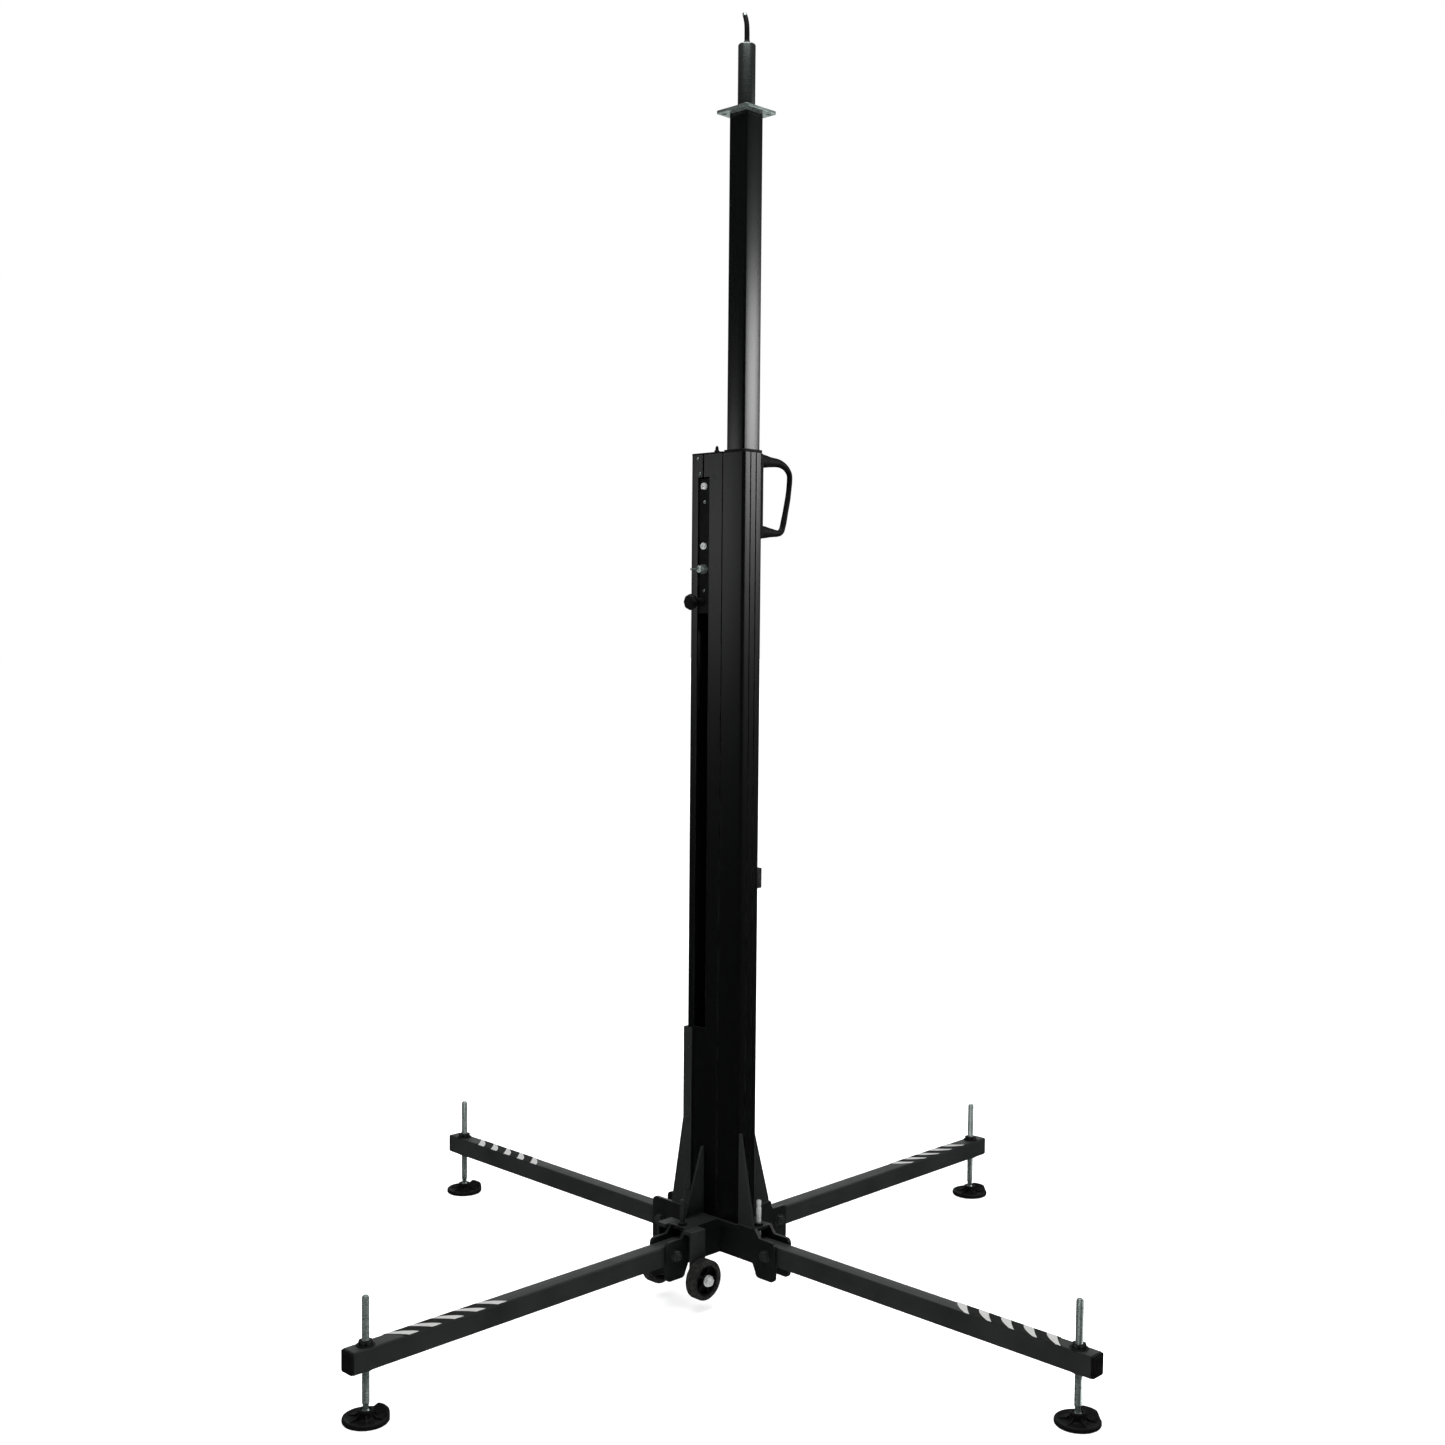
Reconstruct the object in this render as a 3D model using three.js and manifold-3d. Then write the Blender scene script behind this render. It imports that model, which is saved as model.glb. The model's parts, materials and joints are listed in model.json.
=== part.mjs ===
// Telescopic lifting mast on four folding outrigger legs, for lights and rigging.
// Millimetres, +Z up, origin on the floor below the centre of the mast.

import * as THREE from 'three';
import { mergeVertices } from 'three/addons/utils/BufferGeometryUtils.js';
import Module from 'manifold-3d';

const wasm = await Module();
wasm.setup();

// ---------------------------------------------------------------- driving dimensions

const GAP = 0.3; // clearance between neighbouring solids
const THROUGH = 40; // half length of a cutter that passes right through a tube or a pair of cheeks

// lower mast: an extrusion with a front chamber for the lift tube and a rear chamber for the rope
const MAST = { halfX: 74.5, halfY: 27.5, corner: 6, wall: 3, bottom: 160.4, top: 1716 };
const FRONT = { x0: 17, x1: 71, halfY: 24.5, corner: 3 };
const REAR = { x0: -71, x1: 14, halfY: 24.5, corner: 3 };
const SLOT = { x0: -54, x1: -21, bottom: 545, top: 1671 };
const SLIT = { x: -39, width: 4.5 };
const GROOVE = { width: 4, depth: 1.6, sideX: 16.2, frontY: 8 };
const ROPE_WINDOW = { x: -33.5, halfX: 6, bottom: 1212, top: 1368 };

// lift tube and what it carries
const TUBE = { x: 46, half: 24, wall: 3, corner: 3.5, bottom: 873, top: 2382.7 };
const PLATE = { half: 43, corner: 6, z: 2383, thick: 6, holeR: 5.5, holeAt: 31 };
const SPIGOT = { r: 17.5, bottom: PLATE.z + PLATE.thick + GAP, top: 2519, boreR: 8.5, boreDeep: 60 };
const FINGER = { r: 5.2, collarR: 8.1, deep: 50, collarTop: 3 };
const SHOE = { play: 0.6, below: 30, plugDown: 10, plugUp: 40, earHalf: 8, earUp: 27 };

// base frame and legs; r runs outwards from the mast axis along each leg
const ARM = { halfY: 25, cheek: 7, top: 160, cover: 6, bottom: 90, coverEnd: 122 };
const CLEVIS = { r0: 124, r1: 176, bottom: 64, corner: 10 };
const PIVOT = { r: 152, z: 114, pinR: 6, headR: 10, headThick: 3 };
const LEG = { root: 96, end: 900, halfY: 17, halfZ: 20, wall: 3, corner: 3, z: 114 };
const LEG_CAP = { end: 906, corner: 3 };
const JACK = { r: 866, rodR: 7, top: 220.7, bossR: 12.5, ballZ: 17, ballR: 8.5 };
const PAD = { r: 41, edge: 9.5, dish: 7.5, hubR: 14, hubTop: 22, lobeTop: 17.5, lobeIn: 24, lobeHalf: 36 };
const LOCK_PIN = { r: 109, pinR: 5.8, tip: 134.7, top: 212, bushR: 9.5, bushHigh: 6 };

const SEAT = { beyondX: 5, beyondY: 6, thick: 8 };
const GUSSET = { thick: 5, step: 8, topWidth: 6 };

const LEGS = [
  { name: 'front_right', turn: 0, cheekTop: 144, gusset: { r0: 74.8, r1: 117, top: 345, side: -1 } },
  { name: 'back_right', turn: 90, cheekTop: 142, gusset: { r0: 27.8, r1: 121, top: 460, side: -1 } },
  { name: 'back_left', turn: 180, cheekTop: 160, gusset: { r0: 81.1, r1: 118, top: 345, side: 1 } },
  { name: 'front_left', turn: 270, cheekTop: 144, gusset: { r0: 27.8, r1: 78, top: 300, side: -1 } },
];
const BRIGHT_LOCK_PIN = 'front_right';

// rope drive
const ROPE_R = 2;
const SHEAVE = { x: -7, z: 1668, ropeR: 26.5, flangeR: 28.2, halfWidth: 6, boreR: 5.3, axleR: 5 };
const WINCH = { x: -35, y: 70, z: 1080, layR: 28, flangeR: 37, halfWidth: 27, axleR: 7 };
const WINCH_FRAME = { thick: 4, play: 3, below: 75, above: 65, earReach: 26 };
const CRANK = { x: -98, thick: 8, reach: 150, angle: -45, hubR: 17, endR: 11, studR: 5 };
const GRIP = { r: 14, length: 92, boreR: 5.4, play: 2 };

// transport wheels
const WHEEL = { x: 64, y: -112, z: 66, r: 40, halfWidth: 12, boreR: 6.3, axleR: 6 };
const BRACKET = { thick: 6, play: 2.5, halfY: 20, tab: 8 };

// side fittings
const HANDLE = { x: 57, z0: 1548, z1: 1715, plateHalf: 14, plateThick: 6, gripR: 5.2, rootIn: 12 };
const HANDLE_ROOT = { r: 13.5, reach: 60, flat: 0.55 };
const KNOB = { x: -37.5, z: 1418, headR: 16.5, stemR: 8.75, end: -71 };
const LATCH = { x0: -56, x1: -19, z0: 1396, z1: 1668 };
const BOLT_Z = { upper: 1653, lower: 1532 };
const WING_NUT_Z = 1485;
const RIVET_Z = [1621, 1441];
const STUD_R = { bolt: 4.2, rivet: 3.2, knob: 5.2 };
const BUFFER = { x0: 44, x1: 68, y: 46, z0: 838, z1: 879, corner: 5 };
const CAP = { thick: 4, corner: 5, studX: -10, studY: -18 };
const COLLAR = { thick: 6, corner: 4, play: 0.5 };
const BACK_CHANNEL = { top: 541, web: 5.7, flange: 3, x1: -57 };

// ---------------------------------------------------------------- materials

function material(color, roughness, metalness) {
  return new THREE.MeshStandardMaterial({ color, roughness, metalness });
}

const blackPaint = () => material(0x17191a, 0.45, 0.4);
const blackAnodised = () => material(0x1a1d1e, 0.35, 0.6);
const zinc = () => material(0xa9b2b0, 0.3, 1.0);
const blackPlastic = () => material(0x121212, 0.6, 0.0);
const rubber = () => material(0x161515, 0.85, 0.0);
const ropeSteel = () => material(0x8a8d8e, 0.4, 0.9);

// ---------------------------------------------------------------- solids

function solid(geometry) {
  const bare = geometry.clone();
  bare.deleteAttribute('normal');
  bare.deleteAttribute('uv');
  const merged = mergeVertices(bare, 1e-4);
  const vertProperties = new Float32Array(merged.attributes.position.array.map(toMicron));
  const triVerts = new Uint32Array(merged.index.array);
  return new wasm.Manifold(new wasm.Mesh({ numProp: 3, vertProperties, triVerts }));
}

function geometryOf(shape) {
  const mesh = shape.getMesh();
  const geometry = new THREE.BufferGeometry();
  geometry.setAttribute('position', new THREE.BufferAttribute(new Float32Array(mesh.vertProperties), 3));
  geometry.setIndex(new THREE.BufferAttribute(new Uint32Array(mesh.triVerts), 1));
  geometry.computeVertexNormals();
  return geometry;
}

function join(geometries) {
  return geometries.map(solid).reduce((all, next) => all.add(next));
}

function cut(geometry, tools) {
  const body = geometry.isBufferGeometry ? solid(geometry) : geometry;
  return tools.map(solid).reduce((left, tool) => left.subtract(tool), body);
}

function box(x0, x1, y0, y1, z0, z1) {
  const geometry = new THREE.BoxGeometry(x1 - x0, y1 - y0, z1 - z0);
  return geometry.translate((x0 + x1) / 2, (y0 + y1) / 2, (z0 + z1) / 2);
}

// a solid turned about +Z from [radius, height] points that start and end on the axis
function turned(points, segments = 16) {
  return new THREE.LatheGeometry(points.map(toVector), segments).rotateX(Math.PI / 2);
}

function rod(r, z0, z1, segments = 12) {
  return turned([[0, z0], [r, z0], [r, z1], [0, z1]], segments);
}

// a ring turned about +Z whose profile closes on itself
function ring(points, segments = 24) {
  return turned([...points, points[0]], segments);
}

function alongX(geometry) {
  return geometry.rotateY(Math.PI / 2);
}

function alongY(geometry) {
  return geometry.rotateX(-Math.PI / 2);
}

function roundedRectangle(x0, x1, y0, y1, corner, path = new THREE.Shape()) {
  path.moveTo(x0 + corner, y0);
  path.lineTo(x1 - corner, y0);
  path.absarc(x1 - corner, y0 + corner, corner, -Math.PI / 2, 0, false);
  path.lineTo(x1, y1 - corner);
  path.absarc(x1 - corner, y1 - corner, corner, 0, Math.PI / 2, false);
  path.lineTo(x0 + corner, y1);
  path.absarc(x0 + corner, y1 - corner, corner, Math.PI / 2, Math.PI, false);
  path.lineTo(x0, y0 + corner);
  path.absarc(x0 + corner, y0 + corner, corner, Math.PI, 1.5 * Math.PI, false);
  return path;
}

function prism(shape, z0, z1, curveSegments = 2) {
  const geometry = new THREE.ExtrudeGeometry(shape, { depth: z1 - z0, bevelEnabled: false, curveSegments });
  return geometry.translate(0, 0, z0);
}

// an outline in the XZ plane, given as [x, z] points, extruded from y0 to y1
function upright(points, y0, y1) {
  const geometry = prism(new THREE.Shape(points.map(toVector)), 0, y1 - y0);
  return geometry.rotateX(Math.PI / 2).translate(0, y1, 0);
}

// an outline in the YZ plane, given as [y, z] points, extruded from x0 to x1
function sideways(points, x0, x1) {
  const geometry = prism(new THREE.Shape(points.map(toVector)), 0, x1 - x0);
  return geometry.rotateX(Math.PI / 2).rotateZ(Math.PI / 2).translate(x0, 0, 0);
}

function arcPoints(cx, cz, r, from, to, steps) {
  const points = [];
  for (let i = 0; i <= steps; i += 1) {
    const a = THREE.MathUtils.degToRad(from + ((to - from) * i) / steps);
    points.push([cx + r * Math.cos(a), cz + r * Math.sin(a)]);
  }
  return points;
}

function rodAlong(curve, r, steps, sides) {
  const section = new THREE.Shape(arcPoints(0, 0, r, 0, 360 - 360 / sides, sides - 1).map(toVector));
  const options = { steps, extrudePath: curve, bevelEnabled: false };
  return new THREE.ExtrudeGeometry(section, options);
}

// pieces turned about an axis keep exactly flush faces when every coordinate is a whole micron
function toMicron(value) {
  return Math.round(value * 1000) / 1000;
}

function toVector([x, y]) {
  return new THREE.Vector2(x, y);
}

const object = new THREE.Group();

function place(parent, name, shape, finish) {
  const geometry = shape.isBufferGeometry ? shape : geometryOf(shape);
  const mesh = new THREE.Mesh(geometry, finish);
  mesh.name = name;
  parent.add(mesh);
  return mesh;
}

// ---------------------------------------------------------------- base frame

function cheekOutline(cheekTop) {
  const { corner, r0, r1, bottom } = CLEVIS;
  const topEnd = [r1 - corner, cheekTop - corner];
  return [
    [0, ARM.bottom],
    [r0 - 8, ARM.bottom],
    ...arcPoints(r0 + corner, bottom + corner, corner, 180, 270, 4),
    ...arcPoints(r1 - corner, bottom + corner, corner, 270, 360, 4),
    ...arcPoints(topEnd[0], topEnd[1], corner, 0, 90, 4),
    [ARM.coverEnd + 12, cheekTop],
    [ARM.coverEnd, ARM.top],
    [0, ARM.top],
  ];
}

function armPieces({ turn, cheekTop }) {
  const inner = ARM.halfY - ARM.cheek;
  const pieces = [
    upright(cheekOutline(cheekTop), inner, ARM.halfY),
    upright(cheekOutline(cheekTop), -ARM.halfY, -inner),
    box(0, ARM.coverEnd, -ARM.halfY, ARM.halfY, ARM.top - ARM.cover, ARM.top),
    rod(LOCK_PIN.bushR, ARM.top - 1, ARM.top + LOCK_PIN.bushHigh, 16).translate(LOCK_PIN.r, 0, 0),
  ];
  pieces.forEach((piece) => piece.rotateZ(THREE.MathUtils.degToRad(turn)));
  return pieces;
}

function armHoles({ turn }) {
  const pin = alongY(rod(PIVOT.pinR + GAP, -THROUGH, THROUGH)).translate(PIVOT.r, 0, PIVOT.z);
  const lock = rod(LOCK_PIN.pinR + GAP, ARM.top - 20, ARM.top + 20).translate(LOCK_PIN.r, 0, 0);
  return [pin, lock].map((hole) => hole.rotateZ(THREE.MathUtils.degToRad(turn)));
}

function baseFrame() {
  const x = MAST.halfX + SEAT.beyondX;
  const y = MAST.halfY + SEAT.beyondY;
  const seat = box(-x, x, -y, y, ARM.top - SEAT.thick, ARM.top);
  const frame = join([seat, ...LEGS.flatMap(armPieces)]);
  return cut(frame, LEGS.flatMap(armHoles));
}

function gusset({ r0, r1, top, side }) {
  const { thick, step, topWidth } = GUSSET;
  const foot = ARM.top + GAP;
  const outline = [[r0, foot], [r1, foot], [r1, foot + step], [r0 + topWidth, top], [r0, top]];
  const y = side * (ARM.halfY - thick / 2);
  return upright(outline, y - thick / 2, y + thick / 2);
}

// ---------------------------------------------------------------- mast

function mastSection() {
  const section = roundedRectangle(-MAST.halfX, MAST.halfX, -MAST.halfY, MAST.halfY, MAST.corner);
  section.holes.push(
    roundedRectangle(FRONT.x0, FRONT.x1, -FRONT.halfY, FRONT.halfY, FRONT.corner, new THREE.Path()),
    roundedRectangle(REAR.x0, REAR.x1, -REAR.halfY, REAR.halfY, REAR.corner, new THREE.Path()),
  );
  return section;
}

function mastGrooves() {
  const { width, depth, sideX, frontY } = GROOVE;
  const low = MAST.bottom - 1;
  const high = MAST.top + 1;
  const tools = [];
  for (const sign of [-1, 1]) {
    const face = sign * MAST.halfY;
    tools.push(box(sideX - width / 2, sideX + width / 2, face - depth, face + depth, low, high));
    const y = sign * frontY;
    tools.push(box(MAST.halfX - depth, MAST.halfX + depth, y - width / 2, y + width / 2, low, high));
  }
  return tools;
}

function mastProfile() {
  const face = -MAST.halfY;
  const inside = face + MAST.wall + 2;
  const { x, halfX, bottom, top } = ROPE_WINDOW;
  const openings = [
    box(SLOT.x0, SLOT.x1, face - 2, inside, SLOT.bottom, SLOT.top),
    box(SLIT.x - SLIT.width / 2, SLIT.x + SLIT.width / 2, face - 2, inside, SLOT.top - 1, MAST.top + 1),
    box(REAR.x1 - 1, FRONT.x0 + 1, -9, 9, SHEAVE.z - 36, MAST.top + 1),
    box(x - halfX, x + halfX, -inside, -face + 2, bottom, top),
    alongY(rod(SHEAVE.axleR + GAP, -THROUGH, THROUGH)).translate(SHEAVE.x, 0, SHEAVE.z),
  ];
  return cut(prism(mastSection(), MAST.bottom, MAST.top, 3), [...mastGrooves(), ...openings]);
}

function mastCap() {
  const outline = roundedRectangle(-MAST.halfX, REAR.x1, -MAST.halfY, MAST.halfY, CAP.corner);
  const lid = prism(outline, MAST.top + GAP, MAST.top + CAP.thick);
  const stud = turned([[0, 2], [5, 2], [5, 6], [3, 7], [3, 14], [1.6, 17], [0, 17]], 16);
  return join([lid, stud.translate(CAP.studX, CAP.studY, MAST.top)]);
}

function guideCollar() {
  const inner = TUBE.half + COLLAR.play;
  const outline = roundedRectangle(FRONT.x0, MAST.halfX, -MAST.halfY, MAST.halfY, COLLAR.corner);
  const x = [TUBE.x - inner, TUBE.x + inner];
  outline.holes.push(roundedRectangle(x[0], x[1], -inner, inner, TUBE.corner, new THREE.Path()));
  return prism(outline, MAST.top + GAP, MAST.top + COLLAR.thick);
}

function backChannel() {
  const { top, web, flange, x1 } = BACK_CHANNEL;
  const x0 = -MAST.halfX - GAP;
  const y = MAST.halfY + GAP;
  const outline = [
    [x0 - web, -y - flange], [x1, -y - flange], [x1, -y], [x0, -y],
    [x0, y], [x1, y], [x1, y + flange], [x0 - web, y + flange],
  ];
  return prism(new THREE.Shape(outline.map(toVector)), ARM.top + GAP, top);
}

function sideBuffer() {
  const { x0, x1, y, z0, z1, corner } = BUFFER;
  return prism(roundedRectangle(x0, x1, MAST.halfY + GAP, y, corner), z0, z1);
}

// ---------------------------------------------------------------- handle

function handle() {
  const { x, z0, z1, plateHalf, plateThick, gripR, rootIn } = HANDLE;
  const { r: rootR, reach, flat } = HANDLE_ROOT;
  const face = MAST.halfY + GAP;
  const plate = box(x - plateHalf, x + plateHalf, face, face + plateThick, z0 - 2, z1 + 2);
  const root = face + plateThick;
  // [distance out from the plate, height] along the bow, from its upper root to its lower root
  const bow = [
    [-2, z1 - rootIn], [35, z1 - rootIn], [58, z1 - 13.5], [76, z1 - 18.5], [88, z1 - 28], [93, z1 - 41],
    [89, z1 - 77], [80.5, z1 - 114], [73, z0 + 25], [66, z0 + 15], [57, z0 + rootIn], [-2, z0 + rootIn],
  ].map(([out, z]) => new THREE.Vector3(x, root + out, z));
  const roots = [z0 + rootIn, z1 - rootIn].map((z) => {
    const cone = turned([[0, -2], [rootR, -2], [gripR + 0.5, reach], [0, reach]], 16);
    return alongY(cone).scale(flat, 1, 1).translate(x, root, z);
  });
  const grip = rodAlong(new THREE.CatmullRomCurve3(bow, false, 'centripetal'), gripR, 28, 10);
  return join([plate, grip, ...roots]);
}

// ---------------------------------------------------------------- latch in the side slot

function latchPlate() {
  const back = -FRONT.halfY + GAP;
  const plate = box(LATCH.x0, LATCH.x1, back, back + 3, LATCH.z0, LATCH.z1);
  const holes = [BOLT_Z.upper, BOLT_Z.lower, WING_NUT_Z].map((z) => studHole(z, STUD_R.bolt));
  const small = RIVET_Z.map((z) => studHole(z, STUD_R.rivet));
  return cut(plate, [...holes, ...small, studHole(KNOB.z, STUD_R.knob)]);
}

function studHole(z, r) {
  return alongY(rod(r, -THROUGH, 0)).translate(KNOB.x, 0, z);
}

// fittings along -Y: local +Z points out of the slot, height 0 is the mast's outer face
function outOfSlot(geometry, z) {
  return geometry.rotateX(Math.PI / 2).translate(KNOB.x, -MAST.halfY, z);
}

function latchBolt(z) {
  const head = [[0, -12], [3.8, -12], [3.8, -3], [7, -3], [7, 1.2], [5.2, 3.2], [0, 4]];
  return outOfSlot(turned(head, 20), z);
}

function wingNut() {
  const hub = turned([[0, -12], [3.8, -12], [3.8, -3], [10, -3], [10, 3], [7, 12], [0, 12]], 24);
  const wings = upright([
    ...arcPoints(17, 10, 7, -60, 120, 8),
    [0, 8],
    ...arcPoints(-17, 10, 7, 60, 240, 8),
    [0, 1],
  ], -2.2, 2.2);
  return outOfSlot(geometryOf(join([hub, wings])), WING_NUT_Z);
}

function latchHousing() {
  const front = -FRONT.halfY + GAP + 3 + GAP;
  const block = box(LATCH.x0 + 4, LATCH.x1 - 4, front, -4, KNOB.z - 17, KNOB.z + 17);
  return cut(block, [studHole(KNOB.z, STUD_R.knob)]);
}

function lockKnob() {
  const out = -MAST.halfY - KNOB.end;
  return outOfSlot(turned([
    [0, -20], [2.6, -20], [4.8, -17], [4.8, 0.6], [KNOB.stemR, 0.6], [KNOB.stemR, out - 15],
    [10.5, out - 15], [KNOB.headR, out - 11], [KNOB.headR, out - 4], [11, out - 0.8], [0, out],
  ], 20), KNOB.z);
}

// ---------------------------------------------------------------- rope drive

function sheaveAxle() {
  return alongY(rod(SHEAVE.axleR, -MAST.halfY, MAST.halfY)).translate(SHEAVE.x, 0, SHEAVE.z);
}

function sheave() {
  const { ropeR, flangeR, halfWidth, boreR } = SHEAVE;
  const groove = ropeR - ROPE_R - 3 * GAP;
  const wheel = ring([
    [boreR, -halfWidth], [flangeR, -halfWidth], [flangeR, -halfWidth + 2], [groove, -ROPE_R],
    [groove, ROPE_R], [flangeR, halfWidth - 2], [flangeR, halfWidth], [boreR, halfWidth],
  ], 24);
  return alongY(wheel).translate(SHEAVE.x, 0, SHEAVE.z);
}

// where the rope from the sheave meets the rope layer on the drum
function drumTangent() {
  const radius = WINCH.layR + ROPE_R + GAP;
  const dy = WINCH.y;
  const dz = SHEAVE.z - WINCH.z;
  const away = Math.atan2(dz, -dy);
  const open = Math.acos(radius / Math.hypot(dy, dz));
  return { y: WINCH.y + radius * Math.cos(away + open), z: WINCH.z + radius * Math.sin(away + open) };
}

function winchRope() {
  const { x, z, ropeR } = SHEAVE;
  const points = arcPoints(x, z, ropeR, 0, 180, 14).map(([px, pz]) => new THREE.Vector3(px, 0, pz));
  const end = drumTangent();
  const last = points[points.length - 1];
  for (const t of [0.05, 0.2, 0.4, 0.6, 0.8, 1]) {
    points.push(new THREE.Vector3(last.x, end.y * t, THREE.MathUtils.lerp(last.z, end.z, t)));
  }
  return rodAlong(new THREE.CatmullRomCurve3(points, false, 'centripetal'), ROPE_R - 0.1, 40, 6);
}

function liftRope() {
  const x = SHEAVE.x + SHEAVE.ropeR;
  return rod(ROPE_R, TUBE.bottom + 27.5, SHEAVE.z - 0.6, 8).translate(x, 0, 0);
}

function winchFrame() {
  const { x, y, z, halfWidth, axleR } = WINCH;
  const { thick, play, below, above, earReach } = WINCH_FRAME;
  const inner = halfWidth + play;
  const outer = inner + thick;
  const face = MAST.halfY + GAP;
  const back = box(x - outer, x + outer, face, face + thick, z - below, z + above);
  const ear = [
    [face, z - 60], [y, z - 34], [y + earReach, z - 16], [y + earReach, z + 16], [y, z + 34], [face, z + 55],
  ];
  const ears = [x - outer, x + inner].map((x0) => sideways(ear, x0, x0 + thick));
  const bore = alongX(rod(axleR + GAP, -THROUGH, THROUGH)).translate(x, y, z);
  return cut(join([back, ...ears]), [bore]);
}

function winchDrum() {
  const { x, y, z, layR, flangeR, halfWidth, axleR } = WINCH;
  const near = CRANK.x - CRANK.thick - 6 - x;
  const drum = turned([
    [0, near], [axleR, near], [axleR, -halfWidth], [flangeR, -halfWidth], [flangeR, -halfWidth + 3],
    [layR, -halfWidth + 3], [layR, halfWidth - 3], [flangeR, halfWidth - 3], [flangeR, halfWidth],
    [axleR, halfWidth], [axleR, halfWidth + 12], [0, halfWidth + 12],
  ], 20);
  return alongX(drum).translate(x, y, z);
}

function winchCrank() {
  const { x, thick, reach, hubR, endR, studR } = CRANK;
  const outline = [...arcPoints(0, 0, hubR, 100, 260, 8), ...arcPoints(reach, 0, endR, -80, 80, 8)];
  const arm = sideways(outline, x - thick, x);
  const stud = alongX(rod(studR, -GRIP.length - 3 * GRIP.play, 2)).translate(x - thick, reach, 0);
  const shaft = alongX(rod(WINCH.axleR + GAP, x - THROUGH, x + THROUGH));
  return swungCrank(geometryOf(cut(join([arm, stud]), [shaft])));
}

// the crank is drawn along +Y from the drum's axis, then swung to where it rests
function swungCrank(geometry) {
  return geometry.rotateX(THREE.MathUtils.degToRad(CRANK.angle)).translate(0, WINCH.y, WINCH.z);
}

function crankGrip() {
  const { r, length, boreR, play } = GRIP;
  const grip = ring([
    [boreR, 0], [r - 3, 0], [r, 8], [r - 1.5, length / 2], [r, length - 10], [r - 4, length], [boreR, length],
  ], 24);
  return swungCrank(alongX(grip).translate(CRANK.x - CRANK.thick - length - play, CRANK.reach, 0));
}

// ---------------------------------------------------------------- transport wheels

function wheelBracket(sign) {
  const { x, y, z, halfWidth, axleR } = WHEEL;
  const { thick, play, halfY, tab } = BRACKET;
  const outer = x - halfWidth - play;
  const low = y - halfY;
  const high = y + halfY;
  const ear = [[low, ARM.top], [low, z], ...arcPoints(y, z, halfY, 180, 360, 10), [high, ARM.top]];
  const plate = sideways(ear, outer - thick, outer);
  const flange = box(ARM.halfY + GAP, outer - 1, low, high, ARM.top - tab, ARM.top);
  const bore = alongX(rod(axleR + GAP, -THROUGH, THROUGH)).translate(outer, y, z);
  const bracket = geometryOf(cut(join([plate, flange]), [bore]));
  return sign > 0 ? bracket : mirroredX(bracket);
}

function mirroredX(geometry) {
  const mirrored = geometry.clone().scale(-1, 1, 1);
  const index = mirrored.index.array;
  for (let i = 0; i < index.length; i += 3) {
    [index[i], index[i + 1]] = [index[i + 1], index[i]];
  }
  mirrored.computeVertexNormals();
  return mirrored;
}

function wheelAxle(sign) {
  const { x, y, z, halfWidth, axleR } = WHEEL;
  const inner = x - halfWidth - BRACKET.play - BRACKET.thick;
  const axle = turned([
    [0, inner - 5.5], [10, inner - 5.5], [10, inner - GAP], [axleR, inner - GAP],
    [axleR, x + halfWidth + 1.5], [9.5, x + halfWidth + 1.5], [9.5, x + halfWidth + 9],
    [6, x + halfWidth + 12], [0, x + halfWidth + 12],
  ], 24);
  return alongX(axle).rotateZ(sign > 0 ? 0 : Math.PI).translate(0, y, z);
}

function wheel(sign) {
  const { x, y, z, r, halfWidth, boreR } = WHEEL;
  const profile = ring([
    [boreR, -halfWidth], [15, -halfWidth], [18, -halfWidth + 4], [r - 12, -halfWidth + 4],
    [r - 9, -halfWidth], [r - 3, -halfWidth], [r, -halfWidth + 4], [r, halfWidth - 4],
    [r - 3, halfWidth], [r - 9, halfWidth], [r - 12, halfWidth - 4], [18, halfWidth - 4],
    [15, halfWidth], [boreR, halfWidth],
  ], 24);
  return alongX(profile).translate(sign * x, y, z);
}

// ---------------------------------------------------------------- lift tube

function liftTube() {
  const { x, half, wall, corner, bottom, top } = TUBE;
  const section = roundedRectangle(x - half, x + half, -half, half, corner);
  const inner = half - wall;
  section.holes.push(roundedRectangle(x - inner, x + inner, -inner, inner, 1.5, new THREE.Path()));
  return prism(section, bottom, top);
}

function slideShoe() {
  const { x, half, wall, bottom } = TUBE;
  const { play, below, plugDown, plugUp, earHalf, earUp } = SHOE;
  const plugHalf = half - wall - GAP;
  const plugOutline = roundedRectangle(x - plugHalf, x + plugHalf, -plugHalf, plugHalf, 2);
  const plug = prism(plugOutline, bottom - plugDown, bottom + plugUp);
  const block = roundedRectangle(FRONT.x0 + play, FRONT.x1 - play, -half, half, FRONT.corner + 1);
  const shoe = prism(block, bottom - below, bottom - GAP);
  const ear = box(FRONT.x0 + play, x - half - GAP, -earHalf, earHalf, bottom - below, bottom + earUp);
  return join([shoe, plug, ear]);
}

function topPlate() {
  const { half, corner, z, thick, holeR, holeAt } = PLATE;
  const shape = roundedRectangle(TUBE.x - half, TUBE.x + half, -half, half, corner);
  for (const x of [TUBE.x - holeAt, TUBE.x + holeAt]) {
    for (const y of [-holeAt, holeAt]) {
      shape.holes.push(new THREE.Path().absarc(x, y, holeR, 0, 2 * Math.PI, true));
    }
  }
  return prism(shape, z, z + thick, 6);
}

function spigot() {
  const { r, bottom, top, boreR, boreDeep } = SPIGOT;
  const body = turned([[0, bottom], [r, bottom], [r, top - 3], [r - 3, top], [0, top]], 24);
  return geometryOf(cut(body, [rod(boreR, top - boreDeep, top + 5, 20)])).translate(TUBE.x, 0, 0);
}

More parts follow.
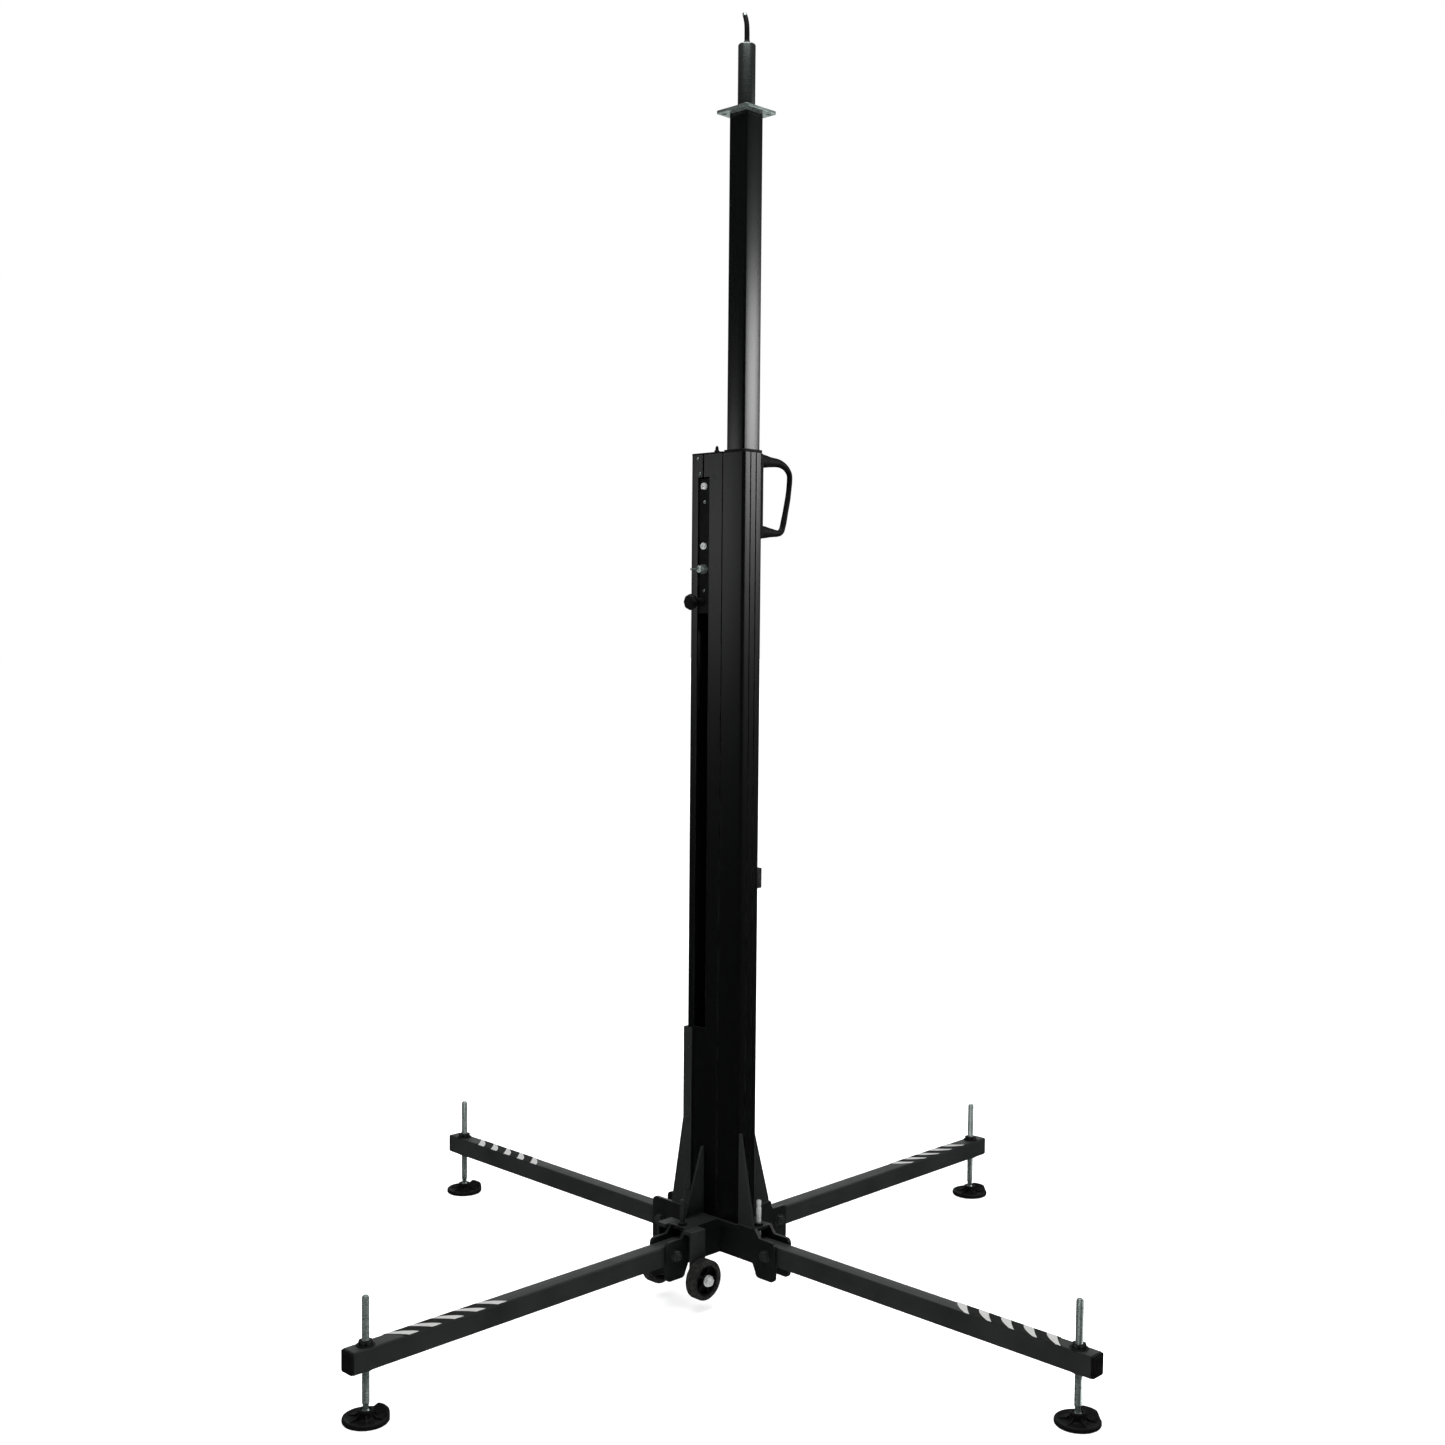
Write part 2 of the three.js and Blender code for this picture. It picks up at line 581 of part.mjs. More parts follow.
function spigotFinger() {
  const { r, collarR, deep, collarTop } = FINGER;
  const { top } = SPIGOT;
  // [distance towards -X, height above the spigot] up the finger to its bent tip
  const line = [[0, -deep], [0, 0], [1, 34], [4, 50], [9, 60]];
  const curve = new THREE.CatmullRomCurve3(line.map(([back, up]) => new THREE.Vector3(-back, 0, top + up)));
  const collar = rod(collarR, top - deep, top + collarTop, 16);
  return geometryOf(join([rodAlong(curve, r, 10, 8), collar])).translate(TUBE.x, 0, 0);
}

// ---------------------------------------------------------------- legs

function legTube() {
  const { root, end, halfY, halfZ, wall, corner, z } = LEG;
  const section = roundedRectangle(-halfZ, halfZ, -halfY, halfY, corner);
  const inner = roundedRectangle(-halfZ + wall, halfZ - wall, -halfY + wall, halfY - wall, 1, new THREE.Path());
  section.holes.push(inner);
  const tube = alongX(prism(section, root, end, 3)).translate(0, 0, z);
  const boss = rod(JACK.bossR, z - halfZ + 1, z + halfZ + 8).translate(JACK.r, 0, 0);
  const bore = rod(JACK.rodR + GAP, 0, 200).translate(JACK.r, 0, 0);
  const pivot = alongY(rod(PIVOT.pinR + GAP, -THROUGH, THROUGH)).translate(PIVOT.r, 0, PIVOT.z);
  const lock = rod(LOCK_PIN.pinR + 0.6, z + 5, z + halfZ + 5).translate(LOCK_PIN.r, 0, 0);
  return cut(join([tube, boss]), [bore, pivot, lock]);
}

function legCap() {
  const { end, halfY, halfZ, wall, z } = LEG;
  const outline = roundedRectangle(-halfZ, halfZ, -halfY, halfY, LEG_CAP.corner);
  const plate = alongX(prism(outline, end + GAP, LEG_CAP.end, 3));
  const inY = halfY - wall - GAP;
  const inZ = halfZ - wall - GAP;
  const plug = box(JACK.r + JACK.bossR + 1, end + 1, -inY, inY, -inZ, inZ);
  return geometryOf(join([plate, plug])).translate(0, 0, z);
}

function pivotPin() {
  const outer = ARM.halfY + GAP;
  const { pinR, headR, headThick } = PIVOT;
  const pin = turned([
    [0, -outer - headThick], [headR, -outer - headThick], [headR, -outer], [pinR, -outer],
    [pinR, outer], [headR, outer], [headR, outer + headThick], [0, outer + headThick],
  ]);
  return alongY(pin).translate(PIVOT.r, 0, PIVOT.z);
}

function lockPin() {
  const { r, pinR, tip, top } = LOCK_PIN;
  return turned([
    [0, tip], [pinR - 1.5, tip], [pinR, tip + 2], [pinR, top - 2], [pinR - 2, top], [0, top],
  ]).translate(r, 0, 0);
}

function jackScrew() {
  const { r, rodR, top, ballZ, ballR } = JACK;
  const ball = arcPoints(0, ballZ, ballR, -90, 48, 5).map(([px, pz]) => [Math.max(px, 0), pz]);
  return turned([
    ...ball, [5.4, 27], [5.4, 31], [rodR, 33], [rodR, top - 1.5], [rodR - 1.5, top], [0, top],
  ], 14).translate(r, 0, 0);
}

// a thick dish whose rim rises into one lobe; the lobe points along +Y whichever way the leg lies
function footPad({ turn }) {
  const { r, edge, dish, hubR, hubTop, lobeTop, lobeIn, lobeHalf } = PAD;
  const socket = arcPoints(0, JACK.ballZ, JACK.ballR + GAP + 0.1, 30, -90, 5);
  const plate = turned([
    [0, 0], [r - 3, 0], [r, 3], [r, edge - 2], [r - 2, edge], [r - 8, edge], [r - 12, dish], [hubR + 3, dish],
    [hubR, hubTop], [9, hubTop], ...socket.map(([px, pz]) => [Math.max(px, 0), pz]),
  ], 20);
  const lobe = new THREE.Shape([
    ...arcPoints(0, 0, r - 1, 90 - turn - lobeHalf, 90 - turn + lobeHalf, 6),
    ...arcPoints(0, 0, lobeIn, 90 - turn + lobeHalf / 2, 90 - turn - lobeHalf / 2, 2),
  ].map(toVector));
  return geometryOf(join([plate, prism(lobe, 2, lobeTop)])).translate(JACK.r, 0, 0);
}

function addLeg(spec) {
  const arm = new THREE.Group();
  arm.rotation.z = THREE.MathUtils.degToRad(spec.turn);
  place(arm, `leg_${spec.name}`, legTube(), blackPaint());
  place(arm, `leg_cap_${spec.name}`, legCap(), blackPlastic());
  place(arm, `jack_screw_${spec.name}`, jackScrew(), zinc());
  place(arm, `foot_pad_${spec.name}`, footPad(spec), blackPlastic());
  place(arm, `pivot_pin_${spec.name}`, pivotPin(), blackPaint());
  place(arm, `lock_pin_${spec.name}`, lockPin(), spec.name === BRIGHT_LOCK_PIN ? zinc() : blackPaint());
  place(arm, `gusset_${spec.name}`, gusset(spec.gusset), blackPaint());
  object.add(arm);
}

// ---------------------------------------------------------------- assembly

place(object, 'base_frame', baseFrame(), blackPaint());
LEGS.forEach(addLeg);

place(object, 'mast_profile', mastProfile(), blackAnodised());
place(object, 'mast_cap', mastCap(), blackPlastic());
place(object, 'guide_collar', guideCollar(), blackPlastic());
place(object, 'back_channel', backChannel(), blackPaint());
place(object, 'side_buffer', sideBuffer(), rubber());
place(object, 'carry_handle', handle(), blackPlastic());

place(object, 'latch_plate', latchPlate(), blackPaint());
place(object, 'latch_bolt_upper', latchBolt(BOLT_Z.upper), zinc());
place(object, 'latch_bolt_lower', latchBolt(BOLT_Z.lower), zinc());
place(object, 'wing_nut', wingNut(), zinc());
place(object, 'latch_housing', latchHousing(), blackPaint());
place(object, 'lock_knob', lockKnob(), blackPlastic());

place(object, 'sheave_axle', sheaveAxle(), blackPaint());
place(object, 'top_sheave', sheave(), zinc());
place(object, 'winch_rope', winchRope(), ropeSteel());
place(object, 'lift_rope', liftRope(), ropeSteel());
place(object, 'winch_frame', winchFrame(), blackPaint());
place(object, 'winch_drum', winchDrum(), zinc());
place(object, 'winch_crank', winchCrank(), zinc());
place(object, 'crank_grip', crankGrip(), blackPlastic());

for (const [side, sign] of [['right', 1], ['left', -1]]) {
  place(object, `wheel_bracket_${side}`, wheelBracket(sign), blackPaint());
  place(object, `wheel_axle_${side}`, wheelAxle(sign), zinc());
  place(object, `transport_wheel_${side}`, wheel(sign), rubber());
}

place(object, 'lift_tube', liftTube(), blackAnodised());
place(object, 'slide_shoe', slideShoe(), blackPlastic());
place(object, 'top_plate', topPlate(), zinc());
place(object, 'spigot', spigot(), zinc());
place(object, 'spigot_finger', spigotFinger(), blackPaint());

export default object;
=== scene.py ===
"""Looks of the telescopic lifting mast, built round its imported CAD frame. Blender 4.5, metres, +Z up."""

import json
import math
import random

import bmesh
import bpy
from mathutils import Matrix, Vector


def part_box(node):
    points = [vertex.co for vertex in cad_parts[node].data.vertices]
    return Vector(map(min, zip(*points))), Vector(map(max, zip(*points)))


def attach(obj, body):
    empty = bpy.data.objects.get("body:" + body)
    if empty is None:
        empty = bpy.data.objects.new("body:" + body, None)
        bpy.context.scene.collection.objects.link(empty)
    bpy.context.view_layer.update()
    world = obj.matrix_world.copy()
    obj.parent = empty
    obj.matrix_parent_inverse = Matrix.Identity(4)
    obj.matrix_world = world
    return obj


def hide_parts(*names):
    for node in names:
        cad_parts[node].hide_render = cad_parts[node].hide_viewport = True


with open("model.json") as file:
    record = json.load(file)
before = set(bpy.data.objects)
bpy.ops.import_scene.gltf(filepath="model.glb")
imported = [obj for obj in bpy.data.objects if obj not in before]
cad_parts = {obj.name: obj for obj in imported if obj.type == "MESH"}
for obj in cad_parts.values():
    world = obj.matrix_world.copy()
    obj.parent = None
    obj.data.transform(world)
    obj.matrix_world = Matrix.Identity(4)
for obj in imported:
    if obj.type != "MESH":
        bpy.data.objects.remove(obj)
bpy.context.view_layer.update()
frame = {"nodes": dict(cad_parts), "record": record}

MM = 0.001
LEGS = ("front_right", "back_right", "back_left", "front_left")
X, Y, Z = Vector((1, 0, 0)), Vector((0, 1, 0)), Vector((0, 0, 1))
BODY_OF = {node: body for body, nodes in frame["record"]["behaviour"]["bodies"].items() for node in nodes}
SLOT_OF = {row["node"]: row["material_slot"] for row in frame["record"]["subparts"]}


def middle(node):
    low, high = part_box(node)
    return (low + high) / 2


def half_size(node):
    """Half of a node's extent along X, Y and Z, in mm."""
    low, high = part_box(node)
    return [(b - a) / 2 / MM for a, b in zip(low, high)]


def smooth_step(t):
    t = min(max(t, 0), 1)
    return t * t * (3 - 2 * t)


# ---------------------------------------------------------------- shader nodes

def shader_node(tree, kind, values=None, **settings):
    node = tree.nodes.new(kind)
    for key, value in settings.items():
        setattr(node, key, value)
    for key, value in (values or {}).items():
        node.inputs[key].default_value = value
    return node


def object_noise(tree, scale, detail=4.0, stretch=(1, 1, 1)):
    """Noise in object coordinates; a stretch above 1 squeezes it along that axis."""
    place = shader_node(tree, "ShaderNodeTexCoord")
    mapping = shader_node(tree, "ShaderNodeMapping", {"Scale": stretch})
    noise = shader_node(tree, "ShaderNodeTexNoise", {"Scale": scale, "Detail": detail, "Roughness": 0.6})
    tree.links.new(place.outputs["Object"], mapping.inputs["Vector"])
    tree.links.new(mapping.outputs["Vector"], noise.inputs["Vector"])
    return noise.outputs["Fac"]


def ramp(tree, source, stops):
    """A colour ramp through (position, grey or colour) stops."""
    node = shader_node(tree, "ShaderNodeValToRGB")
    points = node.color_ramp.elements
    while len(points) < len(stops):
        points.new(0.5)
    for point, (position, value) in zip(points, stops):
        point.position = position
        point.color = (*value, 1) if isinstance(value, tuple) else (value, value, value, 1)
    tree.links.new(source, node.inputs["Fac"])
    return node.outputs["Color"]


def mottle(tree, stops, scale, detail=4.0, stretch=(1, 1, 1)):
    """Noise in object coordinates through a colour ramp."""
    return ramp(tree, object_noise(tree, scale, detail, stretch), stops)


def mix(tree, factor, first, second):
    node = shader_node(tree, "ShaderNodeMix", data_type="RGBA")
    for key, value in ((0, factor), (6, first), (7, second)):
        if isinstance(value, bpy.types.NodeSocket):
            tree.links.new(value, node.inputs[key])
        else:
            node.inputs[key].default_value = value if key == 0 else (*value, 1)
    return node.outputs[2]


def product(tree, first, second):
    node = shader_node(tree, "ShaderNodeMath", operation="MULTIPLY")
    tree.links.new(first, node.inputs[0])
    tree.links.new(second, node.inputs[1])
    return node.outputs["Value"]


# ---------------------------------------------------------------- camera, lights and floor

CAMERA = {
    "azimuth": 44.327, "distance": 3.53, "height": 1.3594, "pitch": 3.008, "yaw": 0.063, "roll": 0.4985,
}
LENS_MM = 43.23
SENSOR_MM = 36
FAR_CLIP = 100
# (height of the direction, from 0 straight down to 1 straight up, grey)
ROOM_TONES = [(0.0, 0.05), (0.45, 0.012), (0.6, 0.02), (0.8, 0.15), (1.0, 0.3)]
BACKDROP = {"bearing": (-0.699, 0.715, 0), "tones": [(0.78, (0, 0, 0)), (0.93, (0.6, 0.63, 0.62))]}
FLOOR_HALF = 60
FLOOR_LIGHT = {"irradiance": 4.5, "spread": 80}
PAPER = {"Base Color": (0.93, 0.93, 0.93, 1), "Roughness": 0.9, "Specular IOR Level": 0.1}
SOFTBOXES = {
    "overhead": {"place": (0.4, -0.4, 5.0), "aim": (0, 0, 0.2), "size": (3.0, 3.0), "power": 110},
    "right": {"place": (3.3, 3.3, 2.45), "aim": (0, 0, 1.85), "size": (1.4, 0.9), "power": 50},
    "left": {"place": (-3.3, -3.3, 1.85), "aim": (0, 0, 1.6), "size": (1.3, 0.8), "power": 8},
}


def add_camera():
    azimuth = math.radians(CAMERA["azimuth"])
    heading = azimuth + math.radians(CAMERA["yaw"])
    pitch, roll = math.radians(CAMERA["pitch"]), math.radians(CAMERA["roll"])
    data = bpy.data.cameras.new("camera")
    data.lens, data.sensor_width = LENS_MM, SENSOR_MM
    data.clip_end = FAR_CLIP
    camera = bpy.data.objects.new("camera", data)
    bpy.context.scene.collection.objects.link(camera)
    place = Vector((math.sin(azimuth), -math.cos(azimuth), 0)) * CAMERA["distance"] + Z * CAMERA["height"]
    turn = Matrix.Rotation(heading, 4, "Z") @ Matrix.Rotation(math.pi / 2 - pitch, 4, "X")
    camera.matrix_world = Matrix.Translation(place) @ turn @ Matrix.Rotation(roll, 4, "Z")
    bpy.context.scene.camera = camera


def add_softbox(name, place, aim, size, power):
    data = bpy.data.lights.new(name, "AREA")
    data.shape, data.size, data.size_y = "RECTANGLE", size[0], size[1]
    data.energy = power
    light = bpy.data.objects.new(name, data)
    bpy.context.scene.collection.objects.link(light)
    direction = Vector(aim) - Vector(place)
    light.matrix_world = Matrix.Translation(place) @ direction.to_track_quat("-Z", "Y").to_matrix().to_4x4()


def add_world():
    """White behind the object for the camera; for the object a dim room, with a lit backdrop beyond it."""
    world = bpy.data.worlds.new("studio")
    world.use_nodes = True
    tree = world.node_tree
    direction = shader_node(tree, "ShaderNodeTexCoord")
    parts = shader_node(tree, "ShaderNodeSeparateXYZ")
    height = shader_node(tree, "ShaderNodeMapRange", {"From Min": -1.0, "From Max": 1.0})
    tree.links.new(direction.outputs["Generated"], parts.inputs["Vector"])
    tree.links.new(parts.outputs["Z"], height.inputs["Value"])
    room = ramp(tree, height.outputs["Result"], ROOM_TONES)
    facing = shader_node(tree, "ShaderNodeVectorMath", operation="DOT_PRODUCT")
    tree.links.new(direction.outputs["Generated"], facing.inputs[0])
    facing.inputs[1].default_value = BACKDROP["bearing"]
    backdrop = ramp(tree, facing.outputs["Value"], BACKDROP["tones"])
    around = shader_node(tree, "ShaderNodeVectorMath", operation="MAXIMUM")
    tree.links.new(room, around.inputs[0])
    tree.links.new(backdrop, around.inputs[1])
    sight = shader_node(tree, "ShaderNodeLightPath")
    seen = mix(tree, sight.outputs["Is Camera Ray"], around.outputs["Vector"], (1, 1, 1))
    tree.links.new(seen, tree.nodes["Background"].inputs["Color"])
    bpy.context.scene.world = world


def add_floor_light(floor, irradiance, spread):
    """A wide shadowless light from above, on the floor alone, that keeps it as white as the background."""
    data = bpy.data.lights.new("floor_light", "SUN")
    data.energy, data.angle = irradiance, math.radians(spread)
    data.use_shadow = False
    light = bpy.data.objects.new("floor_light", data)
    bpy.context.scene.collection.objects.link(light)
    lit = bpy.data.collections.new("lit_by_floor_light")
    lit.objects.link(floor)
    light.light_linking.receiver_collection = lit


def let_past(light, pieces):
    """The named pieces cast no shadow in this light, so that they leave no dark patch beside them."""
    passed = bpy.data.collections.new(light.name + "_passes")
    for piece in pieces:
        passed.objects.link(bpy.data.objects[piece])
    for member in passed.collection_objects:
        member.light_linking.link_state = "EXCLUDE"
    light.light_linking.blocker_collection = passed


def add_floor():
    half = FLOOR_HALF
    mesh = bpy.data.meshes.new("floor")
    corners = [(-half, -half, 0), (half, -half, 0), (half, half, 0), (-half, half, 0)]
    mesh.from_pydata(corners, [], [(0, 1, 2, 3)])
    floor = bpy.data.objects.new("floor", mesh)
    floor.visible_glossy = False
    bpy.context.scene.collection.objects.link(floor)
    paper = bpy.data.materials.new("pale_paper")
    paper.use_nodes = True
    for key, value in PAPER.items():
        paper.node_tree.nodes["Principled BSDF"].inputs[key].default_value = value
    mesh.materials.append(paper)
    return floor


def add_studio():
    add_camera()
    add_world()
    add_floor_light(add_floor(), **FLOOR_LIGHT)
    for name, softbox in SOFTBOXES.items():
        add_softbox(name, **softbox)
    bpy.context.scene.view_settings.view_transform = "Standard"


# ---------------------------------------------------------------- materials

WEAR_RADIUS = 1.1 * MM
WEAR_PATCH_SCALE = 45
# How much paler the faces that look up become: a little dust, and painted light from above.
DUST_AND_TOP_LIGHT = 0.16


def edge_mask(tree):
    """White in patches on worn outer edges, where a rounded normal leaves the face's own; not in hollows."""
    geometry = shader_node(tree, "ShaderNodeNewGeometry")
    rounded = shader_node(tree, "ShaderNodeBevel", {"Radius": WEAR_RADIUS}, samples=4)
    agreement = shader_node(tree, "ShaderNodeVectorMath", operation="DOT_PRODUCT")
    tree.links.new(rounded.outputs["Normal"], agreement.inputs[0])
    tree.links.new(geometry.outputs["Normal"], agreement.inputs[1])
    edge = ramp(tree, agreement.outputs["Value"], [(0.9, 1.0), (0.995, 0.0)])
    outer = ramp(tree, geometry.outputs["Pointiness"], [(0.495, 0.0), (0.52, 1.0)])
    patches = mottle(tree, [(0.4, 0.15), (0.6, 1.0)], WEAR_PATCH_SCALE, 6)
    return product(tree, product(tree, edge, outer), patches)


def dust_and_top_light_mask(tree, amount):
    """Up to amount on faces that look up: dust that settles there, and painted light from above."""
    geometry = shader_node(tree, "ShaderNodeNewGeometry")
    parts = shader_node(tree, "ShaderNodeSeparateXYZ")
    tree.links.new(geometry.outputs["Normal"], parts.inputs["Vector"])
    return ramp(tree, parts.outputs["Z"], [(0.75, 0.0), (1.0, amount)])


def grain(strength, distance, scale, detail, stretch=(1, 1, 1)):
    """The surface normal of a finish: fine noise as bump, distance in metres."""
    def normal(tree):
        height = object_noise(tree, scale, detail, stretch)
        node = shader_node(tree, "ShaderNodeBump", {"Strength": strength, "Distance": distance})
        tree.links.new(height, node.inputs["Height"])
        return node.outputs["Normal"]

    return normal


def finish(name, colour, roughness, normal, metallic=0.0, specular=0.5):
    """A material whose colour, roughness and normal are functions of its node tree."""
    material = bpy.data.materials.new(name)
    material.use_nodes = True
    tree = material.node_tree
    shader = tree.nodes["Principled BSDF"]
    shader.inputs["Metallic"].default_value = metallic
    shader.inputs["Specular IOR Level"].default_value = specular
    tree.links.new(colour(tree), shader.inputs["Base Color"])
    tree.links.new(roughness(tree), shader.inputs["Roughness"])
    tree.links.new(normal(tree), shader.inputs["Normal"])
    return material


def powder_coat(name, base, lit):
    """Satin powder coat: orange peel, faint mottling, rubbed edges, and a little dust with painted top light
    on faces that look up.
    """
    def colour(tree):
        mottled = mottle(tree, [(0.3, base), (0.7, lit)], 9)
        worn = mix(tree, edge_mask(tree), mottled, (0.035, 0.038, 0.037))
        # Faces that look up are mixed paler: dust, and painted top light.
        return mix(tree, dust_and_top_light_mask(tree, DUST_AND_TOP_LIGHT), worn, (0.16, 0.165, 0.16))

    def roughness(tree):
        return mottle(tree, [(0.25, 0.34), (0.75, 0.46)], 24)

    return finish(name, colour, roughness, grain(0.18, 0.0003, 620, 2), specular=0.3)


def black_paint():
    return powder_coat("black_paint", (0.0135, 0.0158, 0.0154), (0.0205, 0.0233, 0.0226))


# Black paint made darker for the whole base frame: painted shade, standing in for the shadow that falls on
# the frame under the mast.
def painted_shade_frame_paint():
    return powder_coat("painted_shade_frame_paint", (0.005, 0.006, 0.0059), (0.0085, 0.0098, 0.0095))


def anodised(name, base, lit, rough):
    """Black anodised aluminium: fine die lines along the length, and faint handling marks."""
    def colour(tree):
        streaks = mottle(tree, [(0.35, base), (0.65, lit)], 1, 3, (520, 520, 1.2))
        return mix(tree, edge_mask(tree), streaks, (0.035, 0.037, 0.037))

    def roughness(tree):
        return mottle(tree, [(0.3, rough), (0.72, rough + 0.03)], 6, 6, (1, 1, 0.4))

    return finish(name, colour, roughness, grain(0.1, 0.0002, 1, 2, (900, 900, 3)), specular=0.4)


def black_anodised():
    return anodised("black_anodised", (0.0011, 0.0014, 0.0015), (0.0021, 0.0026, 0.0028), 0.3)


def tube_anodised():
    return anodised("tube_anodised", (0.0013, 0.0016, 0.0017), (0.0022, 0.0027, 0.0029), 0.21)


def zinc():
    """Zinc plate: cool grey-green with faint yellow blooms, brushed and lightly scratched."""
    blooms = [(0.3, (0.29, 0.35, 0.33)), (0.6, (0.39, 0.46, 0.435)), (0.8, (0.42, 0.44, 0.38))]

    def colour(tree):
        plated = mottle(tree, blooms, 38)
        return mix(tree, edge_mask(tree), plated, (0.62, 0.67, 0.65))

    def roughness(tree):
        return mottle(tree, [(0.3, 0.22), (0.75, 0.4)], 210, 3, (1, 1, 4))

    return finish("zinc", colour, roughness, grain(0.12, 0.0002, 900, 2, (1, 1, 3)), metallic=0.85)


def dark_steel():
    """Turned steel bar with a dark oiled skin."""
    def colour(tree):
        skin = mottle(tree, [(0.3, (0.13, 0.15, 0.145)), (0.75, (0.2, 0.225, 0.215))], 30, 5, (1, 1, 0.3))
        return mix(tree, edge_mask(tree), skin, (0.4, 0.43, 0.42))

    def roughness(tree):
        return mottle(tree, [(0.3, 0.24), (0.75, 0.36)], 1, 2, (4, 4, 900))

    return finish("dark_steel", colour, roughness, grain(0.03, 0.0002, 1, 2, (6, 6, 1400)), metallic=1.0)


# A paler copy of the zinc: fresh plating, and partly a painted highlight.
def pale_zinc_painted_highlight():
    """Freshly plated heads, nuts and pins: pale, with fine turning marks. The pale, barely metallic tone is
    partly a painted highlight, for the shine these small parts catch.
    """
    def colour(tree):
        return mottle(tree, [(0.3, (0.6, 0.63, 0.62)), (0.75, (0.78, 0.8, 0.79))], 160, 3)

    def roughness(tree):
        return mottle(tree, [(0.3, 0.3), (0.75, 0.45)], 260, 3)

    return finish("pale_zinc_painted_highlight", colour, roughness, grain(0.1, 0.0002, 1200, 2, (1, 1, 3)), metallic=0.35)


def black_plastic():
    """Moulded black plastic with a fine grain, scuffed on the corners."""
    def colour(tree):
        plain = mottle(tree, [(0.3, (0.0022, 0.0022, 0.0023)), (0.75, (0.005, 0.005, 0.0051))], 60)
        return mix(tree, edge_mask(tree), plain, (0.02, 0.02, 0.02))

    def roughness(tree):
        return mottle(tree, [(0.3, 0.5), (0.7, 0.64)], 90)

    return finish("black_plastic", colour, roughness, grain(0.25, 0.0002, 1500, 1), specular=0.2)


def rubber():
    """Black rubber with a pebbled surface and pale dust in the high spots."""
    def colour(tree):
        dust = mottle(tree, [(0.45, (0.009, 0.009, 0.009)), (0.8, (0.05, 0.048, 0.045))], 130, 8)
        return mix(tree, edge_mask(tree), dust, (0.06, 0.058, 0.055))

    def roughness(tree):
        return mottle(tree, [(0.3, 0.62), (0.7, 0.8)], 70)

    return finish("rubber", colour, roughness, grain(0.3, 0.0003, 1100, 2), specular=0.3)


def wire_rope():
    """Galvanised wire: bright on the strands, dark grease between them."""
    def colour(tree):
        wires = mottle(tree, [(0.3, (0.2, 0.2, 0.19)), (0.7, (0.5, 0.51, 0.5))], 420, 4)
        return mix(tree, edge_mask(tree), wires, (0.62, 0.63, 0.62))

    def roughness(tree):
        return mottle(tree, [(0.3, 0.3), (0.7, 0.5)], 300)

    return finish("wire_rope", colour, roughness, grain(0.3, 0.0002, 2400, 1), metallic=0.9)


def white_tape():
    """White hazard bands with grey scuffs."""
    scuffs = [(0.22, (0.45, 0.45, 0.43)), (0.36, (0.86, 0.86, 0.84)), (0.8, (0.92, 0.92, 0.91))]

    def colour(tree):
        return mottle(tree, scuffs, 75, 8)

    def roughness(tree):
        return mottle(tree, [(0.3, 0.35), (0.7, 0.55)], 120)

    return finish("white_tape", colour, roughness, grain(0.1, 0.0002, 500, 2))


LOOKS = (
    black_paint, painted_shade_frame_paint, black_anodised, tube_anodised, zinc, pale_zinc_painted_highlight, dark_steel, black_plastic,
    rubber, wire_rope, white_tape,
)
MATERIALS = {make.__name__: make() for make in LOOKS}


# ---------------------------------------------------------------- shapes as (vertices, faces)

def lathe(profile, segments=48, flutes=0, depth=0.0, fluted=()):
    """A solid turned about +Z from (radius, height) points in mm. Those numbered in fluted are scalloped."""
    closed = profile[0][0] > 0
    verts, rings = [], []
    for index, (r, z) in enumerate(profile):
        ring_of = []
        if r == 0:
            ring_of = [len(verts)] * segments
            verts.append(Vector((0, 0, z * MM)))
        else:
            for k in range(segments):
                angle = 2 * math.pi * k / segments
                wave = depth * (0.5 - 0.5 * math.cos(flutes * angle)) if index in fluted else 0
                out = (r - wave) * MM
                ring_of.append(len(verts))
                verts.append(Vector((out * math.cos(angle), out * math.sin(angle), z * MM)))
        rings.append(ring_of)
    pairs = list(zip(rings, rings[1:])) + ([(rings[-1], rings[0])] if closed else [])
    faces = []
    for lower, upper in pairs:
        for k in range(segments):
            loop = [lower[k], lower[(k + 1) % segments], upper[(k + 1) % segments], upper[k]]
            face = [v for i, v in enumerate(loop) if v not in loop[:i]]
            if len(face) > 2:
                faces.append(face)
    return verts, faces


def ring(inner, outer, z0, z1, segments=48):
    """A washer or sleeve about +Z, in mm; a plain bar when inner is 0."""
    return lathe([(inner, z0), (outer, z0), (outer, z1), (inner, z1)], segments)


def hexagon(across, z0, z1, chamfer=1.0):
    """A hexagon head or nut along +Z, in mm, with its outer corners taken off at z1."""
    r = across / math.sqrt(3)
    return lathe([(0, z0), (r, z0), (r, z1 - chamfer), (r - 1.5 * chamfer, z1), (0, z1)], 6)


def prism(outline, z0, z1):
    """An outline of (x, y) points in mm, raised from z0 to z1."""
    count = len(outline)
    verts = [Vector((x, y, z)) * MM for z in (z0, z1) for x, y in outline]
    faces = [list(range(count))[::-1], list(range(count, 2 * count))]
    faces += [[k, (k + 1) % count, count + (k + 1) % count, count + k] for k in range(count)]
    return verts, faces


def rounded_outline(half_x, half_y, corner, steps=6):
    points = []
    for quarter, (sx, sy) in enumerate(((1, 1), (-1, 1), (-1, -1), (1, -1))):
        for k in range(steps + 1):
            angle = math.pi / 2 * (quarter + k / steps)
            cx, cy = sx * (half_x - corner), sy * (half_y - corner)
            points.append((cx + corner * math.cos(angle), cy + corner * math.sin(angle)))
    return points


def tube_faces(rows, sides):
    """Faces of a closed bar whose vertices are rows + 1 rings of the same number of sides."""
    faces = []
    for i in range(rows):
        for k in range(sides):
            a, b = i * sides + k, i * sides + (k + 1) % sides
            faces.append([a, b, b + sides, a + sides])
    faces.append(list(range(sides))[::-1])
    faces.append([rows * sides + k for k in range(sides)])
    return faces


